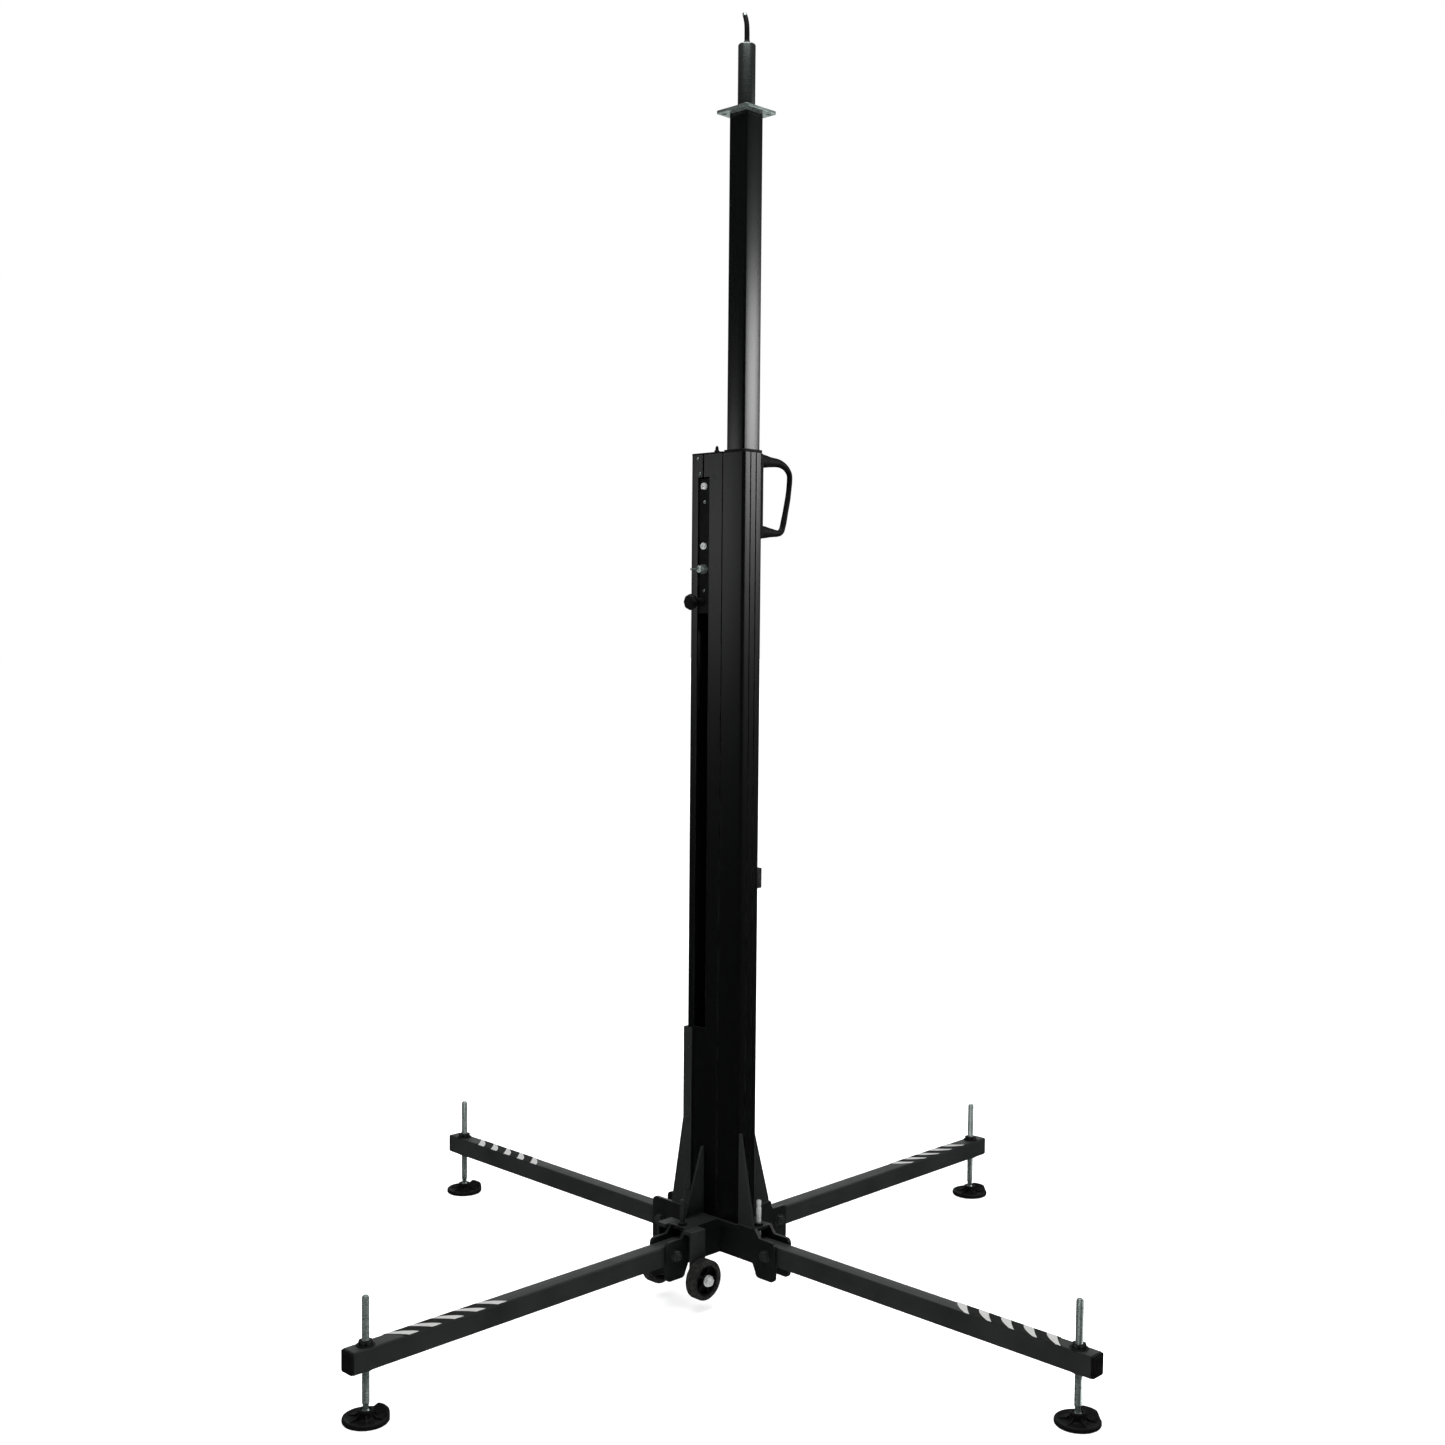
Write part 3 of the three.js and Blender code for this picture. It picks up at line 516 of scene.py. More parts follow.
def sweep(points, radius, sides=12, squash=lambda t: 1.0, up=X):
    """A bar along points in metres. Its radius in metres, and its squash along up, are functions of 0..1."""
    verts, rows = [], len(points) - 1
    for i, point in enumerate(points):
        along = (points[min(i + 1, rows)] - points[max(i - 1, 0)]).normalized()
        side = along.cross(up).normalized()
        top = side.cross(along).normalized()
        r, flat = radius(i / rows), squash(i / rows)
        for k in range(sides):
            angle = 2 * math.pi * k / sides
            verts.append(point + side * r * math.cos(angle) + top * r * flat * math.sin(angle))
    return verts, tube_faces(rows, sides)


def smooth_path(points, steps=8):
    """Points along a Catmull-Rom curve through the given points."""
    ends = [points[0] * 2 - points[1], *points, points[-1] * 2 - points[-2]]
    path = []
    for a, b, c, d in zip(ends, ends[1:], ends[2:], ends[3:]):
        for k in range(steps):
            t = k / steps
            square, cube = 2 * a - 5 * b + 4 * c - d, 3 * b - a - 3 * c + d
            path.append(0.5 * (2 * b + (c - a) * t + square * t * t + cube * t ** 3))
    return path + [points[-1]]


def threaded_bar(radius, pitch, z0, z1, sides=20, rows_per_turn=4):
    """A bar with a V thread, in mm: its radius follows a helix."""
    depth = 0.55 * pitch
    rows = round((z1 - z0) / pitch * rows_per_turn)
    verts = []
    for i in range(rows + 1):
        z = z0 + (z1 - z0) * i / rows
        run_out = min(1, (rows - i) / rows_per_turn, i / rows_per_turn)
        for k in range(sides):
            phase = (z / pitch - k / sides) % 1
            r = radius - depth * (1 - run_out * (1 - abs(2 * phase - 1)))
            angle = 2 * math.pi * k / sides
            verts.append(Vector((r * math.cos(angle), r * math.sin(angle), z)) * MM)
    return verts, tube_faces(rows, sides)


def standing(origin, axis=Z):
    """Places a shape made along +Z at origin (metres), pointing along axis."""
    return Matrix.Translation(origin) @ Vector(axis).to_track_quat("Z", "Y").to_matrix().to_4x4()


# ---------------------------------------------------------------- pieces

# degrees, and metres for the distance
CREASE = 35
CAD_CREASE = 38
FLAT_ANGLE = 0.5
MERGE_DISTANCE = 1e-6


def finish_mesh(mesh, crease):
    bm = bmesh.new()
    bm.from_mesh(mesh)
    bmesh.ops.recalc_face_normals(bm, faces=bm.faces)
    bm.to_mesh(mesh)
    bm.free()
    mesh.shade_smooth()
    mesh.set_sharp_from_angle(angle=math.radians(crease))


def make_piece(name, body, slot, shapes, stands_for=(), bevel=0.0, crease=CREASE, look=None):
    """One object of several (shape, matrix) pairs, riding on a body; a look replaces its slot's material."""
    verts, faces = [], []
    for (shape_verts, shape_faces), matrix in shapes:
        start = len(verts)
        verts += [matrix @ v for v in shape_verts]
        faces += [[start + i for i in face] for face in shape_faces]
    mesh = bpy.data.meshes.new(name)
    mesh.from_pydata(verts, [], faces)
    finish_mesh(mesh, crease)
    adopt(name, mesh, body, slot, stands_for, bevel, look)


def adopt(name, mesh, body, slot, stands_for, bevel, look):
    mesh.materials.append(MATERIALS[look or slot])
    piece = bpy.data.objects.new(name, mesh)
    bpy.context.scene.collection.objects.link(piece)
    if bevel:
        soften(piece, bevel)
    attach(piece, body)
    if stands_for:
        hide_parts(*stands_for)


def soften(piece, width_mm):
    edge = piece.modifiers.new("soft_edges", "BEVEL")
    edge.width = width_mm * MM
    edge.segments = 2
    edge.limit_method = "ANGLE"
    edge.angle_limit = math.radians(CAD_CREASE)
    edge.harden_normals = True


def refined(node, bevel, look=None):
    """A copy of a CAD solid with whole faces, rounded edges and smooth bends, which stands for it."""
    bm = bmesh.new()
    bm.from_mesh(frame["nodes"][node].data)
    bmesh.ops.remove_doubles(bm, verts=bm.verts, dist=MERGE_DISTANCE)
    bmesh.ops.dissolve_limit(bm, angle_limit=math.radians(FLAT_ANGLE), verts=bm.verts, edges=bm.edges)
    bm.verts.index_update()
    verts = [v.co.copy() for v in bm.verts]
    faces = [[v.index for v in face.verts] for face in bm.faces]
    bm.free()
    mesh = bpy.data.meshes.new(node + "_fine")
    mesh.from_pydata(verts, [], faces)
    finish_mesh(mesh, CAD_CREASE)
    adopt(node + "_fine", mesh, BODY_OF[node], SLOT_OF[node], (node,), bevel, look)


# ---------------------------------------------------------------- legs

JACK_R = middle("foot_pad_front_right").x
LEG_LOW, LEG_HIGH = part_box("leg_cap_front_right")
LEG_TOP = LEG_HIGH.z
LEG_BOTTOM = LEG_LOW.z

# mm; slant and bow are along the leg, low and high across it
BAND = {
    "pitch": 48.5, "width": 21, "count": 5, "slant": 34, "low": -15.8, "high": 16.4, "bow": -6, "thick": 0.2,
    "taper": 0.25, "tape_end": 9,
}
FIRST_BAND = {"front_right": 623, "back_right": 604, "back_left": 604, "front_left": 600}

# mm and degrees from +Y
LOBE = {"rise": 8, "above": 6, "inner_r": 22, "slope": 12, "half_angle": 20, "fade": 18}
HUB_RIBS = 6


def leg_turn(leg):
    """Turns a shape made along +X to lie along the named leg."""
    centre = middle(f"foot_pad_{leg}")
    return Matrix.Rotation(math.atan2(centre.y, centre.x), 4, "Z")


def add_jack(leg):
    """A threaded rod on a ball, and the nut, washer and collar on the leg that it runs through."""
    turn = leg_turn(leg) @ Matrix.Translation((JACK_R, 0, 0))
    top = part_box(f"jack_screw_{leg}")[1].z / MM
    angles = [math.radians(d) for d in range(-75, 50, 12)]
    ball = [(0, 9)] + [(8.2 * math.cos(a), 17 + 8.2 * math.sin(a)) for a in angles]
    neck = lathe(ball + [(5.4, 24), (5.4, 31), (6.6, 33), (6.6, 35), (0, 35)])
    tip = lathe([(0, top - 4), (5.4, top - 4), (5.4, top - 1.2), (4.2, top), (0, top)])
    bar = threaded_bar(radius=7, pitch=2, z0=33, z1=top - 2)
    rod = [(shape, turn) for shape in (neck, bar, tip)]
    make_piece(f"jack_rod_{leg}", f"jack_{leg}", "zinc", rod, (f"jack_screw_{leg}",))
    over, under = LEG_TOP / MM, LEG_BOTTOM / MM
    nut = lathe([
        (7.6, over + 1), (13.2, over + 1), (13.2, over + 7.8), (12.2, over + 8.8), (7.6, over + 8.8),
    ], 6)
    washer = lathe([(7.8, over), (16.8, over), (16.8, over + 0.8), (15.8, over + 1.6), (7.8, over + 1.6)])
    collar = lathe([(7.8, under - 2.5), (12, under - 2.5), (12.6, under), (7.8, under)])
    fittings = [(shape, turn) for shape in (nut, washer, collar)]
    make_piece(f"jack_nut_{leg}", f"outrigger_{leg}", "black_paint", fittings, bevel=0.4,
               look="black_plastic")


def add_foot(leg):
    """A moulded dish: a rounded rim with one raised lobe towards +Y, and a low ribbed hub round the ball."""
    low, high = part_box(f"foot_pad_{leg}")
    place = Matrix.Translation(((low.x + high.x) / 2, (low.y + high.y) / 2, 0))
    verts, faces = lathe([
        (0, 0), (36, 0), (39.4, 0.8), (41, 3), (41, 7.2), (40, 9), (38, 9.6), (35.6, 9.2), (33.4, 7.9),
        (31, 7.3), (18, 7.6), (15.6, 9), (14.4, 12), (14, 19), (13.2, 21.4), (11.6, 22), (9.4, 21.8),
        (9, 19), (8.9, 13), (6, 9.2), (0, 8.4),
    ], 96)
    for point in verts:
        out = math.hypot(point.x, point.y) / MM
        if point.z < LOBE["above"] * MM or out < LOBE["inner_r"]:
            continue
        off_lobe = abs(math.degrees(math.atan2(point.x, point.y)))
        beside = smooth_step(1 - (off_lobe - LOBE["half_angle"]) / LOBE["fade"])
        point.z += LOBE["rise"] * MM * (beside * smooth_step((out - LOBE["inner_r"]) / LOBE["slope"]))
    rib = prism([(0, 0), (20, 0), (18, 1.6), (6, 3), (0, 9)], 0, 2)
    upright = Matrix.Rotation(math.pi / 2, 4, "X")
    shapes = [((verts, faces), place)]
    for k in range(HUB_RIBS):
        turn = Matrix.Rotation(2 * math.pi * (k + 0.5) / HUB_RIBS, 4, "Z")
        shapes.append((rib, place @ (turn @ Matrix.Translation((13.5 * MM, MM, 7 * MM))) @ upright))
    make_piece(f"foot_{leg}_fine", f"foot_{leg}", "black_plastic", shapes, (f"foot_pad_{leg}",), crease=50)


def band_edge(centre, offset, bow, steps=12):
    """One slanted, bowed edge of a band across the leg; the band narrows towards the leg's right side."""
    points = []
    for i in range(steps + 1):
        t = 2 * i / steps - 1
        across = BAND["low"] + (BAND["high"] - BAND["low"]) * (t + 1) / 2
        taper = 1 - BAND["taper"] + BAND["taper"] * t
        points.append((centre + offset * taper - BAND["slant"] * t / 2 + bow * (1 - t * t), across))
    return points


def add_hazard_bands(leg):
    """Black tape with slanted white bands, along the outer half of the leg's top."""
    turn = leg_turn(leg) @ Matrix.Translation((0, 0, LEG_TOP))
    first, pitch, half_width, thick = FIRST_BAND[leg], BAND["pitch"], BAND["width"] / 2, BAND["thick"]
    white = []
    for k in range(BAND["count"]):
        centre = first + k * pitch
        inner = band_edge(centre, -half_width, BAND["bow"])
        outer = band_edge(centre, half_width, BAND["bow"] / 4)
        white.append((prism(inner[::-1] + outer, thick, 2 * thick), turn))
    make_piece(f"hazard_bands_{leg}", f"outrigger_{leg}", "white_tape", white)
    last = first + (BAND["count"] - 1) * pitch
    inner = band_edge(first, -half_width, BAND["bow"])
    outer = band_edge(last, half_width + BAND["tape_end"], BAND["bow"])
    tape = prism(inner[::-1] + outer, 0, thick)
    make_piece(f"hazard_tape_{leg}", f"outrigger_{leg}", "black_plastic", [(tape, turn)])


def add_leg_end(leg):
    """The plastic end cap: a plate with a low crown."""
    end = LEG_HIGH.x / MM
    centre = (LEG_TOP + LEG_BOTTOM) / 2
    lid = leg_turn(leg) @ (Matrix.Translation((0, 0, centre)) @ Matrix.Rotation(math.pi / 2, 4, "Y"))
    plate = prism(rounded_outline(19.6, 16.6, 3.5), end - 5.7, end - 1.4)
    crown = prism(rounded_outline(16, 13, 4), end - 2, end)
    make_piece(f"leg_end_{leg}", f"outrigger_{leg}", "black_plastic", [(plate, lid), (crown, lid)],
               (f"leg_cap_{leg}",), bevel=0.9)


def add_pivot(leg):
    """The clevis bolt: hexagon head, washers, lock nut and the end of its thread."""
    low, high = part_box(f"pivot_pin_{leg}")
    centre = (low + high) / 2
    across = Y if abs(centre.x) > abs(centre.y) else X
    reach = (high - low).dot(across) / 2 / MM
    shapes = []
    for side in (1, -1):
        place = standing(centre, across * side)
        shapes.append((ring(6, 12.5, reach - 3, reach - 1.2), place))
        shapes.append((hexagon(19, reach - 1.2, reach + 6), place))
    thread_end = lathe([
        (0, reach + 5), (5.8, reach + 5), (5.8, reach + 9), (4.8, reach + 10), (0, reach + 10),
    ])
    shank = ring(0, 6, 3 - reach, reach - 3)
    shapes += [(thread_end, standing(centre, across)), (shank, standing(centre, across))]
    make_piece(f"clevis_bolt_{leg}", "base", "black_paint", shapes, (f"pivot_pin_{leg}",), bevel=0.3)


def add_lock_pin(leg):
    """An upright plunger with a groove under its head."""
    low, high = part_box(f"lock_pin_{leg}")
    centre = (low + high) / 2
    place = Matrix.Translation((centre.x, centre.y, 0))
    z0, z1 = low.z / MM, high.z / MM
    pin = lathe([
        (0, z0), (4, z0), (5.2, z0 + 2), (5.2, z1 - 16), (4.4, z1 - 15), (4.4, z1 - 11), (5.2, z1 - 10),
        (5.2, z1 - 3), (4.7, z1 - 1.2), (3.4, z1 - 0.2), (0, z1),
    ])
    slot = SLOT_OF[f"lock_pin_{leg}"]
    # A zinc plunger takes the paler zinc: fresh plating, partly a painted highlight.
    make_piece(f"plunger_{leg}", f"pin_{leg}", slot, [(pin, place)], (f"lock_pin_{leg}",),
               look="pale_zinc_painted_highlight" if slot == "zinc" else None)


def add_leg(leg):
    refined(f"leg_{leg}", bevel=0.5)
    add_leg_end(leg)
    add_hazard_bands(leg)
    add_jack(leg)
    add_foot(leg)
    add_pivot(leg)
    add_lock_pin(leg)
    refined(f"gusset_{leg}", bevel=0.9)


# ---------------------------------------------------------------- mast

# mm; start and end are parts of the way along the bow
HANDLE = {"plate": 6, "half_plate": 14, "half_grip": 6.2}
FINGER_WAVES = {"depth": 0.3, "rate": 75, "start": 0.42, "end": 0.66}
CAP_STUD = (-10, -18)


def add_mast():
    refined("mast_profile", bevel=0.45)
    refined("guide_collar", bevel=0.8)
    refined("back_channel", bevel=0.7)
    refined("side_buffer", bevel=1.6)
    # The base frame takes the darker paint: painted shade from under the mast.
    refined("base_frame", bevel=0.8, look="painted_shade_frame_paint")
    refined("latch_plate", bevel=0.4, look="black_plastic")
    refined("latch_housing", bevel=0.6)
    add_mast_cap()
    add_handle()
    add_latch()


def add_mast_cap():
    """The lid over the rear chamber, with a domed stud and its nut."""
    low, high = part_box("mast_cap")
    half_x, half_y, _ = half_size("mast_cap")
    rim = low.z / MM
    lid = prism(rounded_outline(half_x, half_y, 5), rim, rim + 3.6)
    lie = Matrix.Translation(((low.x + high.x) / 2, 0, 0))
    stud = Matrix.Translation((CAP_STUD[0] * MM, CAP_STUD[1] * MM, rim * MM))
    nut = hexagon(10, 3.4, 7.6, 0.8)
    dome = lathe([(0, 7.4), (3.4, 7.4), (3.4, 12), (2.6, 14.6), (1.2, 16.4), (0, 16.8)], 32)
    shapes = [(lid, lie), (nut, stud), (dome, stud)]
    make_piece("mast_cap_fine", "base", "black_plastic", shapes, ("mast_cap",), bevel=0.7)


def add_handle():
    """A moulded bow handle with flared roots, and finger waves on the inside of its grip."""
    low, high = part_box("carry_handle")
    x = (low.x + high.x) / 2
    root_y = low.y + HANDLE["plate"] * MM
    z0, z1 = low.z / MM, high.z / MM
    # (out from the plate, height, half height of the section) from the upper root to the lower one
    bow = [
        (-5, z1 - 14, 13.4), (14, z1 - 14, 13.4), (35, z1 - 14.6, 10.4), (58, z1 - 15.2, 8.6),
        (76, z1 - 20.5, 7), (88, z1 - 30, 5.8), (93, z1 - 43, 4.9), (89, z1 - 79, 5), (80.5, z1 - 116, 5.7),
        (73, z0 + 27, 6.4), (67, z0 + 17, 6.6), (57, z0 + 13.6, 6.8), (37, z0 + 14, 9.2),
        (14, z0 + 14.4, 12.8), (-5, z0 + 14.4, 12.8),
    ]
    path = smooth_path([Vector((x, root_y + y * MM, z * MM)) for y, z, _ in bow])
    halves = [point.z for point in smooth_path([Vector((0, 0, half * MM)) for _, _, half in bow])]

    def radius(t):
        waved = FINGER_WAVES["start"] < t < FINGER_WAVES["end"]
        wave = FINGER_WAVES["depth"] * MM * math.sin(t * FINGER_WAVES["rate"]) if waved else 0
        return halves[round(t * (len(halves) - 1))] + wave

    grip = sweep(path, radius, 20, squash=lambda t: HANDLE["half_grip"] * MM / radius(t))
    plate_centre = Vector((x, low.y, (low.z + high.z) / 2))
    outline = rounded_outline(HANDLE["half_plate"], half_size("carry_handle")[2], 5)
    plate = prism(outline, 0, HANDLE["plate"])
    lie = Matrix.Translation(plate_centre) @ Matrix.Rotation(-math.pi / 2, 4, "X")
    shapes = [(grip, Matrix()), (plate, lie)]
    make_piece("carry_handle_fine", "base", "black_plastic", shapes, ("carry_handle",), bevel=0.9)


def add_latch():
    """The fluted bolts, wing nut and pull knob in the side slot."""
    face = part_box("mast_profile")[0].y
    for which in ("upper", "lower"):
        centre = middle(f"latch_bolt_{which}")
        place = standing(Vector((centre.x, face, centre.z)), -Y)
        head = lathe([
            (0, -11.5), (3.7, -11.5), (3.7, -3), (7, -3), (7, 0.6), (6.5, 2), (5.2, 3), (3.2, 3.4), (3, 3.4),
            (2.8, 1), (0, 0.8),
        ], 48, flutes=24, depth=0.25, fluted=(3, 4))
        # The bolt heads take the paler zinc: fresh plating, partly a painted highlight.
        make_piece(f"latch_bolt_{which}_fine", "base", "zinc", [(head, place)], (f"latch_bolt_{which}",),
                   look="pale_zinc_painted_highlight")
    refined("wing_nut", bevel=1.2)
    add_knob(face)


def add_knob(face):
    """A mushroom pull knob: eight shallow scallops round a crowned head, on a ribbed stem."""
    low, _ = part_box("lock_knob")
    centre = middle("lock_knob")
    out = (face - low.y) / MM
    profile = [(0, -20), (2.6, -20), (4.6, -17), (4.6, 0.8), (8.75, 0.8), (8.75, 3)]
    for rib in range(5):
        z = 4 + 3.2 * rib
        profile += [(8.75, z), (8.2, z + 0.8), (8.2, z + 1.6), (8.75, z + 2.4)]
    first_scalloped = len(profile) + 1
    profile += [(8.75, out - 17), (11.5, out - 16.4), (15, out - 14), (16.5, out - 11), (16.5, out - 7),
                (15, out - 3.8), (11.5, out - 1.3), (6, out - 0.2), (0, out)]
    scalloped = range(first_scalloped, len(profile) - 2)
    shape = lathe(profile, 64, flutes=8, depth=1.0, fluted=scalloped)
    place = standing(Vector((centre.x, face, centre.z)), -Y)
    make_piece("pull_knob", "knob", "black_plastic", [(shape, place)], ("lock_knob",))


# ---------------------------------------------------------------- welds and small screws

# mm; the slit screws are (x, z) places on the mast's face
BEAD = {"radius": 1.8, "step": 1.4, "inset": 3}
SLIT_SCREWS = ((-54.9, 1708.5), (-48.8, 1678))
RIVET_HEIGHTS = (1621, 1441)
CHANNEL_SCREW = {"from_edge": 8, "from_foot": 40, "from_top": 44}
HANDLE_SCREW = {"half_gap": 9, "from_end": 4}
BUFFER_SCREW_FROM_END = 10


def weld_bead(start, end, up, seed):
    """A rippled fillet weld along a straight joint, with thin ends."""
    chance = random.Random(seed)
    radius = BEAD["radius"] * MM
    count = max(8, int((end - start).length / (BEAD["step"] * MM)))
    points = [start.lerp(end, i / count) for i in range(count + 1)]
    ripple = [
        radius * (0.86 + 0.14 * math.sin(i * 1.9) + 0.08 * chance.random()) for i in range(count + 1)
    ]
    ripple[0] = ripple[-1] = radius * 0.3
    return sweep(points, lambda t: ripple[round(t * count)], 8, up=up)


def add_welds():
    """Beads at the foot of each gusset, on both of its sides."""
    inset = BEAD["inset"] * MM
    for index, leg in enumerate(LEGS):
        low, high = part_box(f"gusset_{leg}")
        shapes = []
        for k, corner in enumerate((low, high)):
            if high.x - low.x > high.y - low.y:
                start = Vector((low.x + inset, corner.y, low.z))
                end = Vector((high.x - inset, corner.y, low.z))
            else:
                start = Vector((corner.x, low.y + inset, low.z))
                end = Vector((corner.x, high.y - inset, low.z))
            shapes.append((weld_bead(start, end, Z, 10 * index + k), Matrix()))
        make_piece(f"weld_{leg}", "base", "black_paint", shapes)


def button_head(r, height, recess):
    """A button-head screw along +Z, in mm, with a round socket."""
    return lathe([
        (0, -0.2), (r, -0.2), (r, 0.3), (0.93 * r, 0.55 * height), (0.72 * r, 0.86 * height),
        (recess, height), (recess * 0.92, height), (recess * 0.88, 0.45 * height), (0, 0.4 * height),
    ], 32)


def add_screws(name, slot, places, axis, r=4.2, height=2.4, recess=2.1):
    head = button_head(r, height, recess)
    make_piece(name, "base", slot, [(head, standing(Vector(p), axis)) for p in places])


def add_mast_screws():
    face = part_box("mast_profile")[0].y
    add_screws("slit_screws", "zinc", [(x * MM, face, z * MM) for x, z in SLIT_SCREWS], -Y, 3.2, 2.2, 1.5)
    plate_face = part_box("latch_plate")[0].y
    rivets = [(middle("latch_plate").x, plate_face, z * MM) for z in RIVET_HEIGHTS]
    add_screws("latch_rivets", "zinc", rivets, -Y, 3.6, 2, 1.2)


def add_channel_screws():
    low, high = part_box("back_channel")
    bottom = low.z + CHANNEL_SCREW["from_foot"] * MM
    top = high.z - CHANNEL_SCREW["from_top"] * MM
    heights = (bottom, (low.z + high.z) / 2, top)
    x = high.x - CHANNEL_SCREW["from_edge"] * MM
    for side, y, axis in (("front", low.y, -Y), ("back", high.y, Y)):
        add_screws(f"channel_screws_{side}", "black_paint", [(x, y, z) for z in heights], axis)


def add_handle_screws():
    low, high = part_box("carry_handle")
    face = low.y + HANDLE["plate"] * MM
    half_gap, from_end = HANDLE_SCREW["half_gap"] * MM, HANDLE_SCREW["from_end"] * MM
    columns = (middle("carry_handle").x - half_gap, middle("carry_handle").x + half_gap)
    spots = [(x, face, z) for x in columns for z in (low.z + from_end, high.z - from_end)]
    add_screws("handle_screws", "zinc", spots, Y, 2.6, 1.6, 1.2)


def add_buffer_screws():
    low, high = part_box("side_buffer")
    from_end = BUFFER_SCREW_FROM_END * MM
    spots = [(middle("side_buffer").x, high.y, z) for z in (low.z + from_end, high.z - from_end)]
    add_screws("buffer_screws", "black_paint", spots, Y, 3.4, 2, 1.6)


# ---------------------------------------------------------------- lift tube and top

# (x, z) in mm from the top of the spigot's axis
FINGER_BEND = ((0, -48), (0, 0), (-0.6, 34), (-3.4, 50), (-8, 62))
BARE_STEPS = 4


def add_lift():
    refined("lift_tube", bevel=0.4)
    refined("slide_shoe", bevel=0.8)
    refined("top_plate", bevel=0.9)
    low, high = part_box("spigot")
    x = middle("spigot").x
    z0, z1 = low.z / MM, high.z / MM
    place = Matrix.Translation((x, 0, 0))
    body = lathe([
        (0, z0), (16.4, z0), (17.5, z0 + 1), (17.5, z1 - 3), (16.8, z1 - 1.2), (15.4, z1), (9, z1),
        (8.5, z1 - 1), (8.5, z1 - 59), (0, z1 - 60),
    ], 64)
    make_piece("spigot_fine", "lift", "zinc", [(body, place)], ("spigot",), look="dark_steel")
    weld = lathe([(17.6, z0), (22.5, z0), (22.5, z0 + 1.6), (19.4, z0 + 4.4), (17.6, z0 + 5)])
    make_piece("spigot_weld", "lift", "zinc", [(weld, place)])
    add_finger(x, z1)


def add_finger(x, top):
    """The bent finger: a black plug and tapering stem, with a bright tip on the last steps of its path."""
    path = smooth_path([Vector((x + dx * MM, 0, (top + dz) * MM)) for dx, dz in FINGER_BEND])
    stem = sweep(path[:-BARE_STEPS], lambda t: (5.4 - 0.6 * t) * MM, 16, up=Y)
    plug = lathe([
        (0, top - 50), (8.1, top - 50), (8.1, top + 1.6), (7.4, top + 3), (6.2, top + 4.4), (5.2, top + 8),
        (0, top + 8),
    ])
    shapes = [(stem, Matrix()), (plug, Matrix.Translation((x, 0, 0)))]
    make_piece("finger_fine", "lift", "black_plastic", shapes, ("spigot_finger",))
    end = path[-1] + (path[-1] - path[-2]).normalized() * 1.6 * MM
    bare = path[-BARE_STEPS - 2:] + [end]
    tip = sweep(bare, lambda t: (4.6 - 0.5 * t if t < 0.9 else 2.4) * MM, 16, up=Y)
    make_piece("finger_tip", "lift", "zinc", [(tip, Matrix())])


# ---------------------------------------------------------------- winch and rope

# mm; lay is how deep the rope lies below the drum's flanges
DRUM = {"from_end": 12, "width": 54, "flange": 3, "lay": 9}
ROPE_R = 1.9
WRAP_STEPS = 40
GRIP_WAVES = 6
STRANDS = {"count": 6, "lay_r": 1.15, "r": 0.72, "step": 2.2, "steps_per_turn": 12}


def add_winch():
    """The hand winch, its rope, and the sheave at the top of the mast."""
    refined("winch_frame", bevel=1.0)
    refined("winch_crank", bevel=1.2)
    refined("sheave_axle", bevel=0.4)
    refined("top_sheave", bevel=0.5)
    low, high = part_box("winch_drum")
    centre = Vector((0, middle("winch_drum").y, middle("winch_drum").z))
    x0, x1 = low.x / MM, high.x / MM
    left, right = x1 - DRUM["from_end"] - DRUM["width"], x1 - DRUM["from_end"]
    wall = DRUM["flange"]
    flange = half_size("winch_drum")[2]
    lay = flange - DRUM["lay"]
    profile = [
        (0, x0), (5.6, x0), (7, x0 + 1.2), (7, left), (flange, left), (flange, left + wall),
        (lay, left + wall), (lay, right - wall), (flange, right - wall), (flange, right), (7, right),
        (7, x1 - 1), (6, x1), (0, x1),
    ]
    drum = lathe(profile, 72, flutes=24, depth=3.2, fluted=(8, 9))
    make_piece("drum_fine", "winch_rotor", "zinc", [(drum, standing(centre, X))], ("winch_drum",))
    add_rope_wraps(centre, left + wall, right - wall, lay + 2)
    add_crank_grip()
    add_strand_rope()


def add_rope_wraps(centre, x0, x1, radius):
    """Turns of rope side by side on the drum."""
    turns = int((x1 - x0 - 2 * ROPE_R) / (2 * ROPE_R + 0.35))
    points = []
    for i in range(turns * WRAP_STEPS + 1):
        angle = 2 * math.pi * i / WRAP_STEPS
        x = (x0 + ROPE_R + 0.2 + (2 * ROPE_R + 0.3) * i / WRAP_STEPS) * MM
        y, z = centre.y - radius * MM * math.cos(angle), centre.z + radius * MM * math.sin(angle)
        points.append(Vector((x, y, z)))
    wraps = sweep(points, lambda t: ROPE_R * MM, 8)
    make_piece("rope_wraps", "winch_rotor", "wire_rope", [(wraps, Matrix())])


def add_crank_grip():
    """A turned plastic grip with six waves along it, and the nut on the end of its stud."""
    low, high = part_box("crank_grip")
    x0, x1 = low.x / MM, high.x / MM
    profile = [(5.5, x0), (11, x0), (13.2, x0 + 3), (14, x0 + 8)]
    steps = 4 * GRIP_WAVES
    for k in range(1, steps):
        t = k / steps
        profile.append((13.2 - 0.8 * math.cos(2 * math.pi * GRIP_WAVES * t), x0 + 8 + (x1 - x0 - 18) * t))
    profile += [(14, x1 - 8), (12.4, x1 - 3), (10, x1), (5.5, x1)]
    centre = Vector((0, middle("crank_grip").y, middle("crank_grip").z))
    grip = [(lathe(profile), standing(centre, X))]
    make_piece("crank_grip_fine", "crank_handgrip", "black_plastic", grip, ("crank_grip",))
    stud_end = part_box("winch_crank")[0].x / MM
    nut = hexagon(9, -stud_end - 4, -stud_end, 0.6)
    make_piece("crank_stud_nut", "winch_rotor", "zinc", [(nut, standing(centre, -X))])


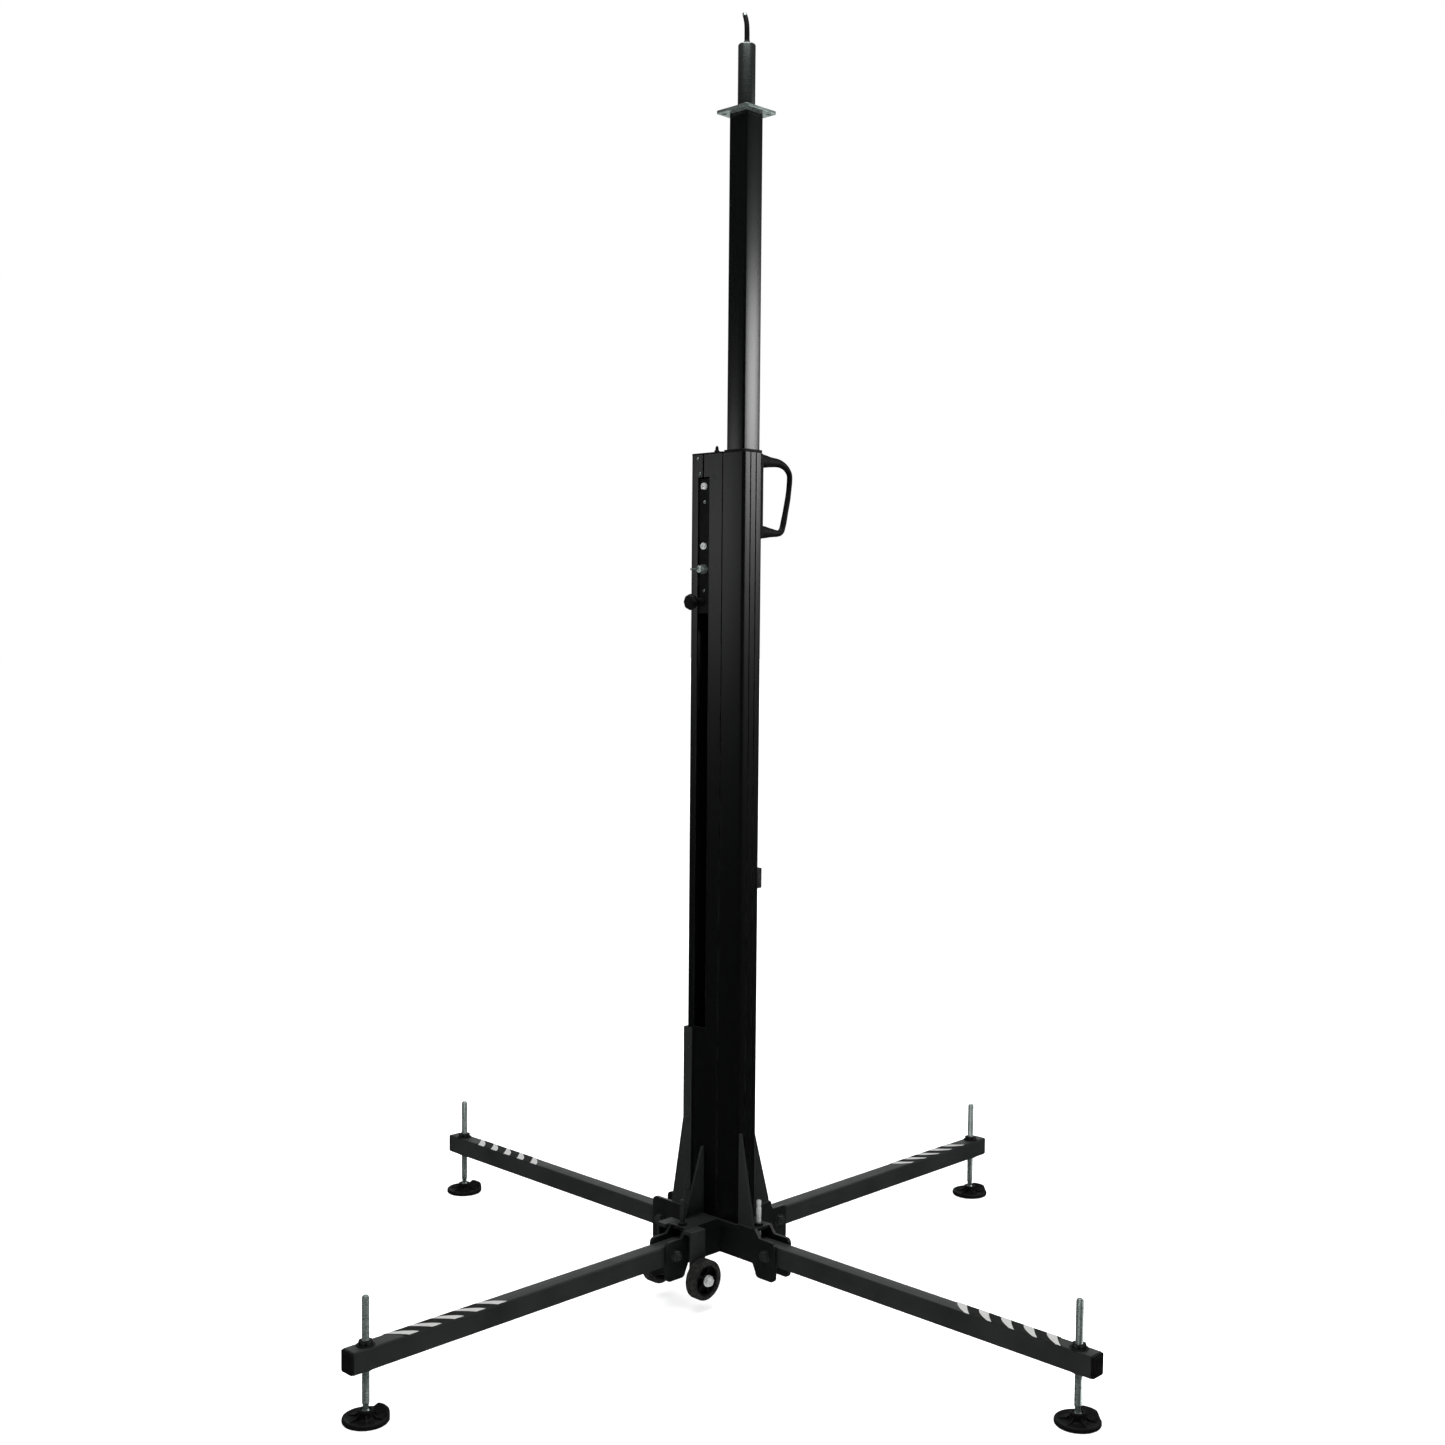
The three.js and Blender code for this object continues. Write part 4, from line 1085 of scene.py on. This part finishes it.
def add_strand_rope():
    """Six strands laid round the line of the rope that leaves the mast for the drum."""
    low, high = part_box("winch_rope")
    start = Vector((low.x + ROPE_R * MM, 0, middle("top_sheave").z))
    end = Vector((start.x, high.y - ROPE_R * MM, low.z + 1.2 * MM))
    side = (end - start).normalized().cross(X).normalized()
    steps = int((end - start).length / (STRANDS["step"] * MM))
    shapes = []
    for strand in range(STRANDS["count"]):
        points = []
        for i in range(steps + 1):
            angle = 2 * math.pi * (strand / STRANDS["count"] + i / STRANDS["steps_per_turn"])
            off = (side * math.cos(angle) + X * math.sin(angle)) * STRANDS["lay_r"] * MM
            points.append(start.lerp(end, i / steps) + off)
        shapes.append((sweep(points, lambda t: STRANDS["r"] * MM, 6), Matrix()))
    make_piece("rope_strands", "base", "wire_rope", shapes)


# ---------------------------------------------------------------- transport wheels

SPOKES = 5


def add_wheel(side, sign):
    """A rubber tyre with a ribbed tread on a five-spoked hub, with its bolt and bracket."""
    place = standing(middle(f"transport_wheel_{side}"), X * sign)
    half, _, r = half_size(f"transport_wheel_{side}")
    tread = [
        (r - 0.8, 1.4 - half), (r, 2.4 - half), (r, -4), (r - 1, -3.5), (r - 1, -2.3), (r, -1.8), (r, 1.8),
        (r - 1, 2.3), (r - 1, 3.5), (r, 4), (r, half - 2.4), (r - 0.8, half - 1.4),
    ]
    inner_wall = [(r - 10.5, 2 - half), (r - 8, -half), (r - 3.5, -half)]
    outer_wall = [(r - 3.5, half), (r - 8, half), (r - 10.5, half - 2)]
    tyre = lathe(inner_wall + tread + outer_wall, 72)
    make_piece(f"tyre_{side}", f"wheel_{side}", "rubber", [(tyre, place)], (f"transport_wheel_{side}",))
    rim = ring(r - 13.4, r - 10.4, 1.6 - half, half - 1.6, 64)
    hub = lathe([
        (6.4, -half), (12.5, -half), (13.5, 1.4 - half), (13.5, half - 1.4), (12.5, half), (6.4, half),
    ])
    web = ring(12.8, r - 12.8, -2, 2)
    spoke = prism([(12.5, -2.6), (r - 12.6, -3.6), (r - 12.6, 3.6), (12.5, 2.6)], 3 - half, half - 3)
    shapes = [(rim, place), (hub, place), (web, place)]
    shapes += [(spoke, place @ Matrix.Rotation(2 * math.pi * k / SPOKES, 4, "Z")) for k in range(SPOKES)]
    make_piece(f"wheel_hub_{side}", f"wheel_{side}", "black_plastic", shapes, bevel=0.5)
    add_wheel_bolt(side, sign)
    refined(f"wheel_bracket_{side}", bevel=1.0)


def add_wheel_bolt(side, sign):
    """A zinc bolt with its head at the inner end, and a washer and nut near the outer one."""
    low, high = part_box(f"wheel_axle_{side}")
    inner, outer = sorted((abs(low.x) / MM, abs(high.x) / MM))
    centre = middle(f"transport_wheel_{side}")
    foot = Vector((0, centre.y, centre.z))
    bolt = lathe([(0, inner + 4), (6, inner + 4), (6, outer - 1), (5, outer), (0, outer)])
    nut = hexagon(19, outer - 10, outer - 3, 1.2)
    washer = ring(6, 11.5, outer - 11.4, outer - 10)
    head = hexagon(18, -inner - 5.2, -inner, 0.9)
    shapes = [(shape, standing(foot, X * sign)) for shape in (bolt, nut, washer)]
    shapes.append((head, standing(foot, X * -sign)))
    # The bolt takes the paler zinc: fresh plating, partly a painted highlight.
    make_piece(f"wheel_bolt_{side}", "base", "zinc", shapes, (f"wheel_axle_{side}",), bevel=0.3,
               look="pale_zinc_painted_highlight")


# ---------------------------------------------------------------- assembly

add_studio()
add_mast()
for leg in LEGS:
    add_leg(leg)
add_welds()
add_mast_screws()
add_channel_screws()
add_handle_screws()
add_buffer_screws()
add_lift()
add_winch()
add_wheel("right", 1)
add_wheel("left", -1)

for node, cad_object in frame["nodes"].items():
    if not cad_object.hide_render:
        for material_slot in cad_object.material_slots:
            material_slot.material = MATERIALS[SLOT_OF[node]]

let_past(bpy.data.objects["left"], ("pull_knob", "wing_nut_fine"))
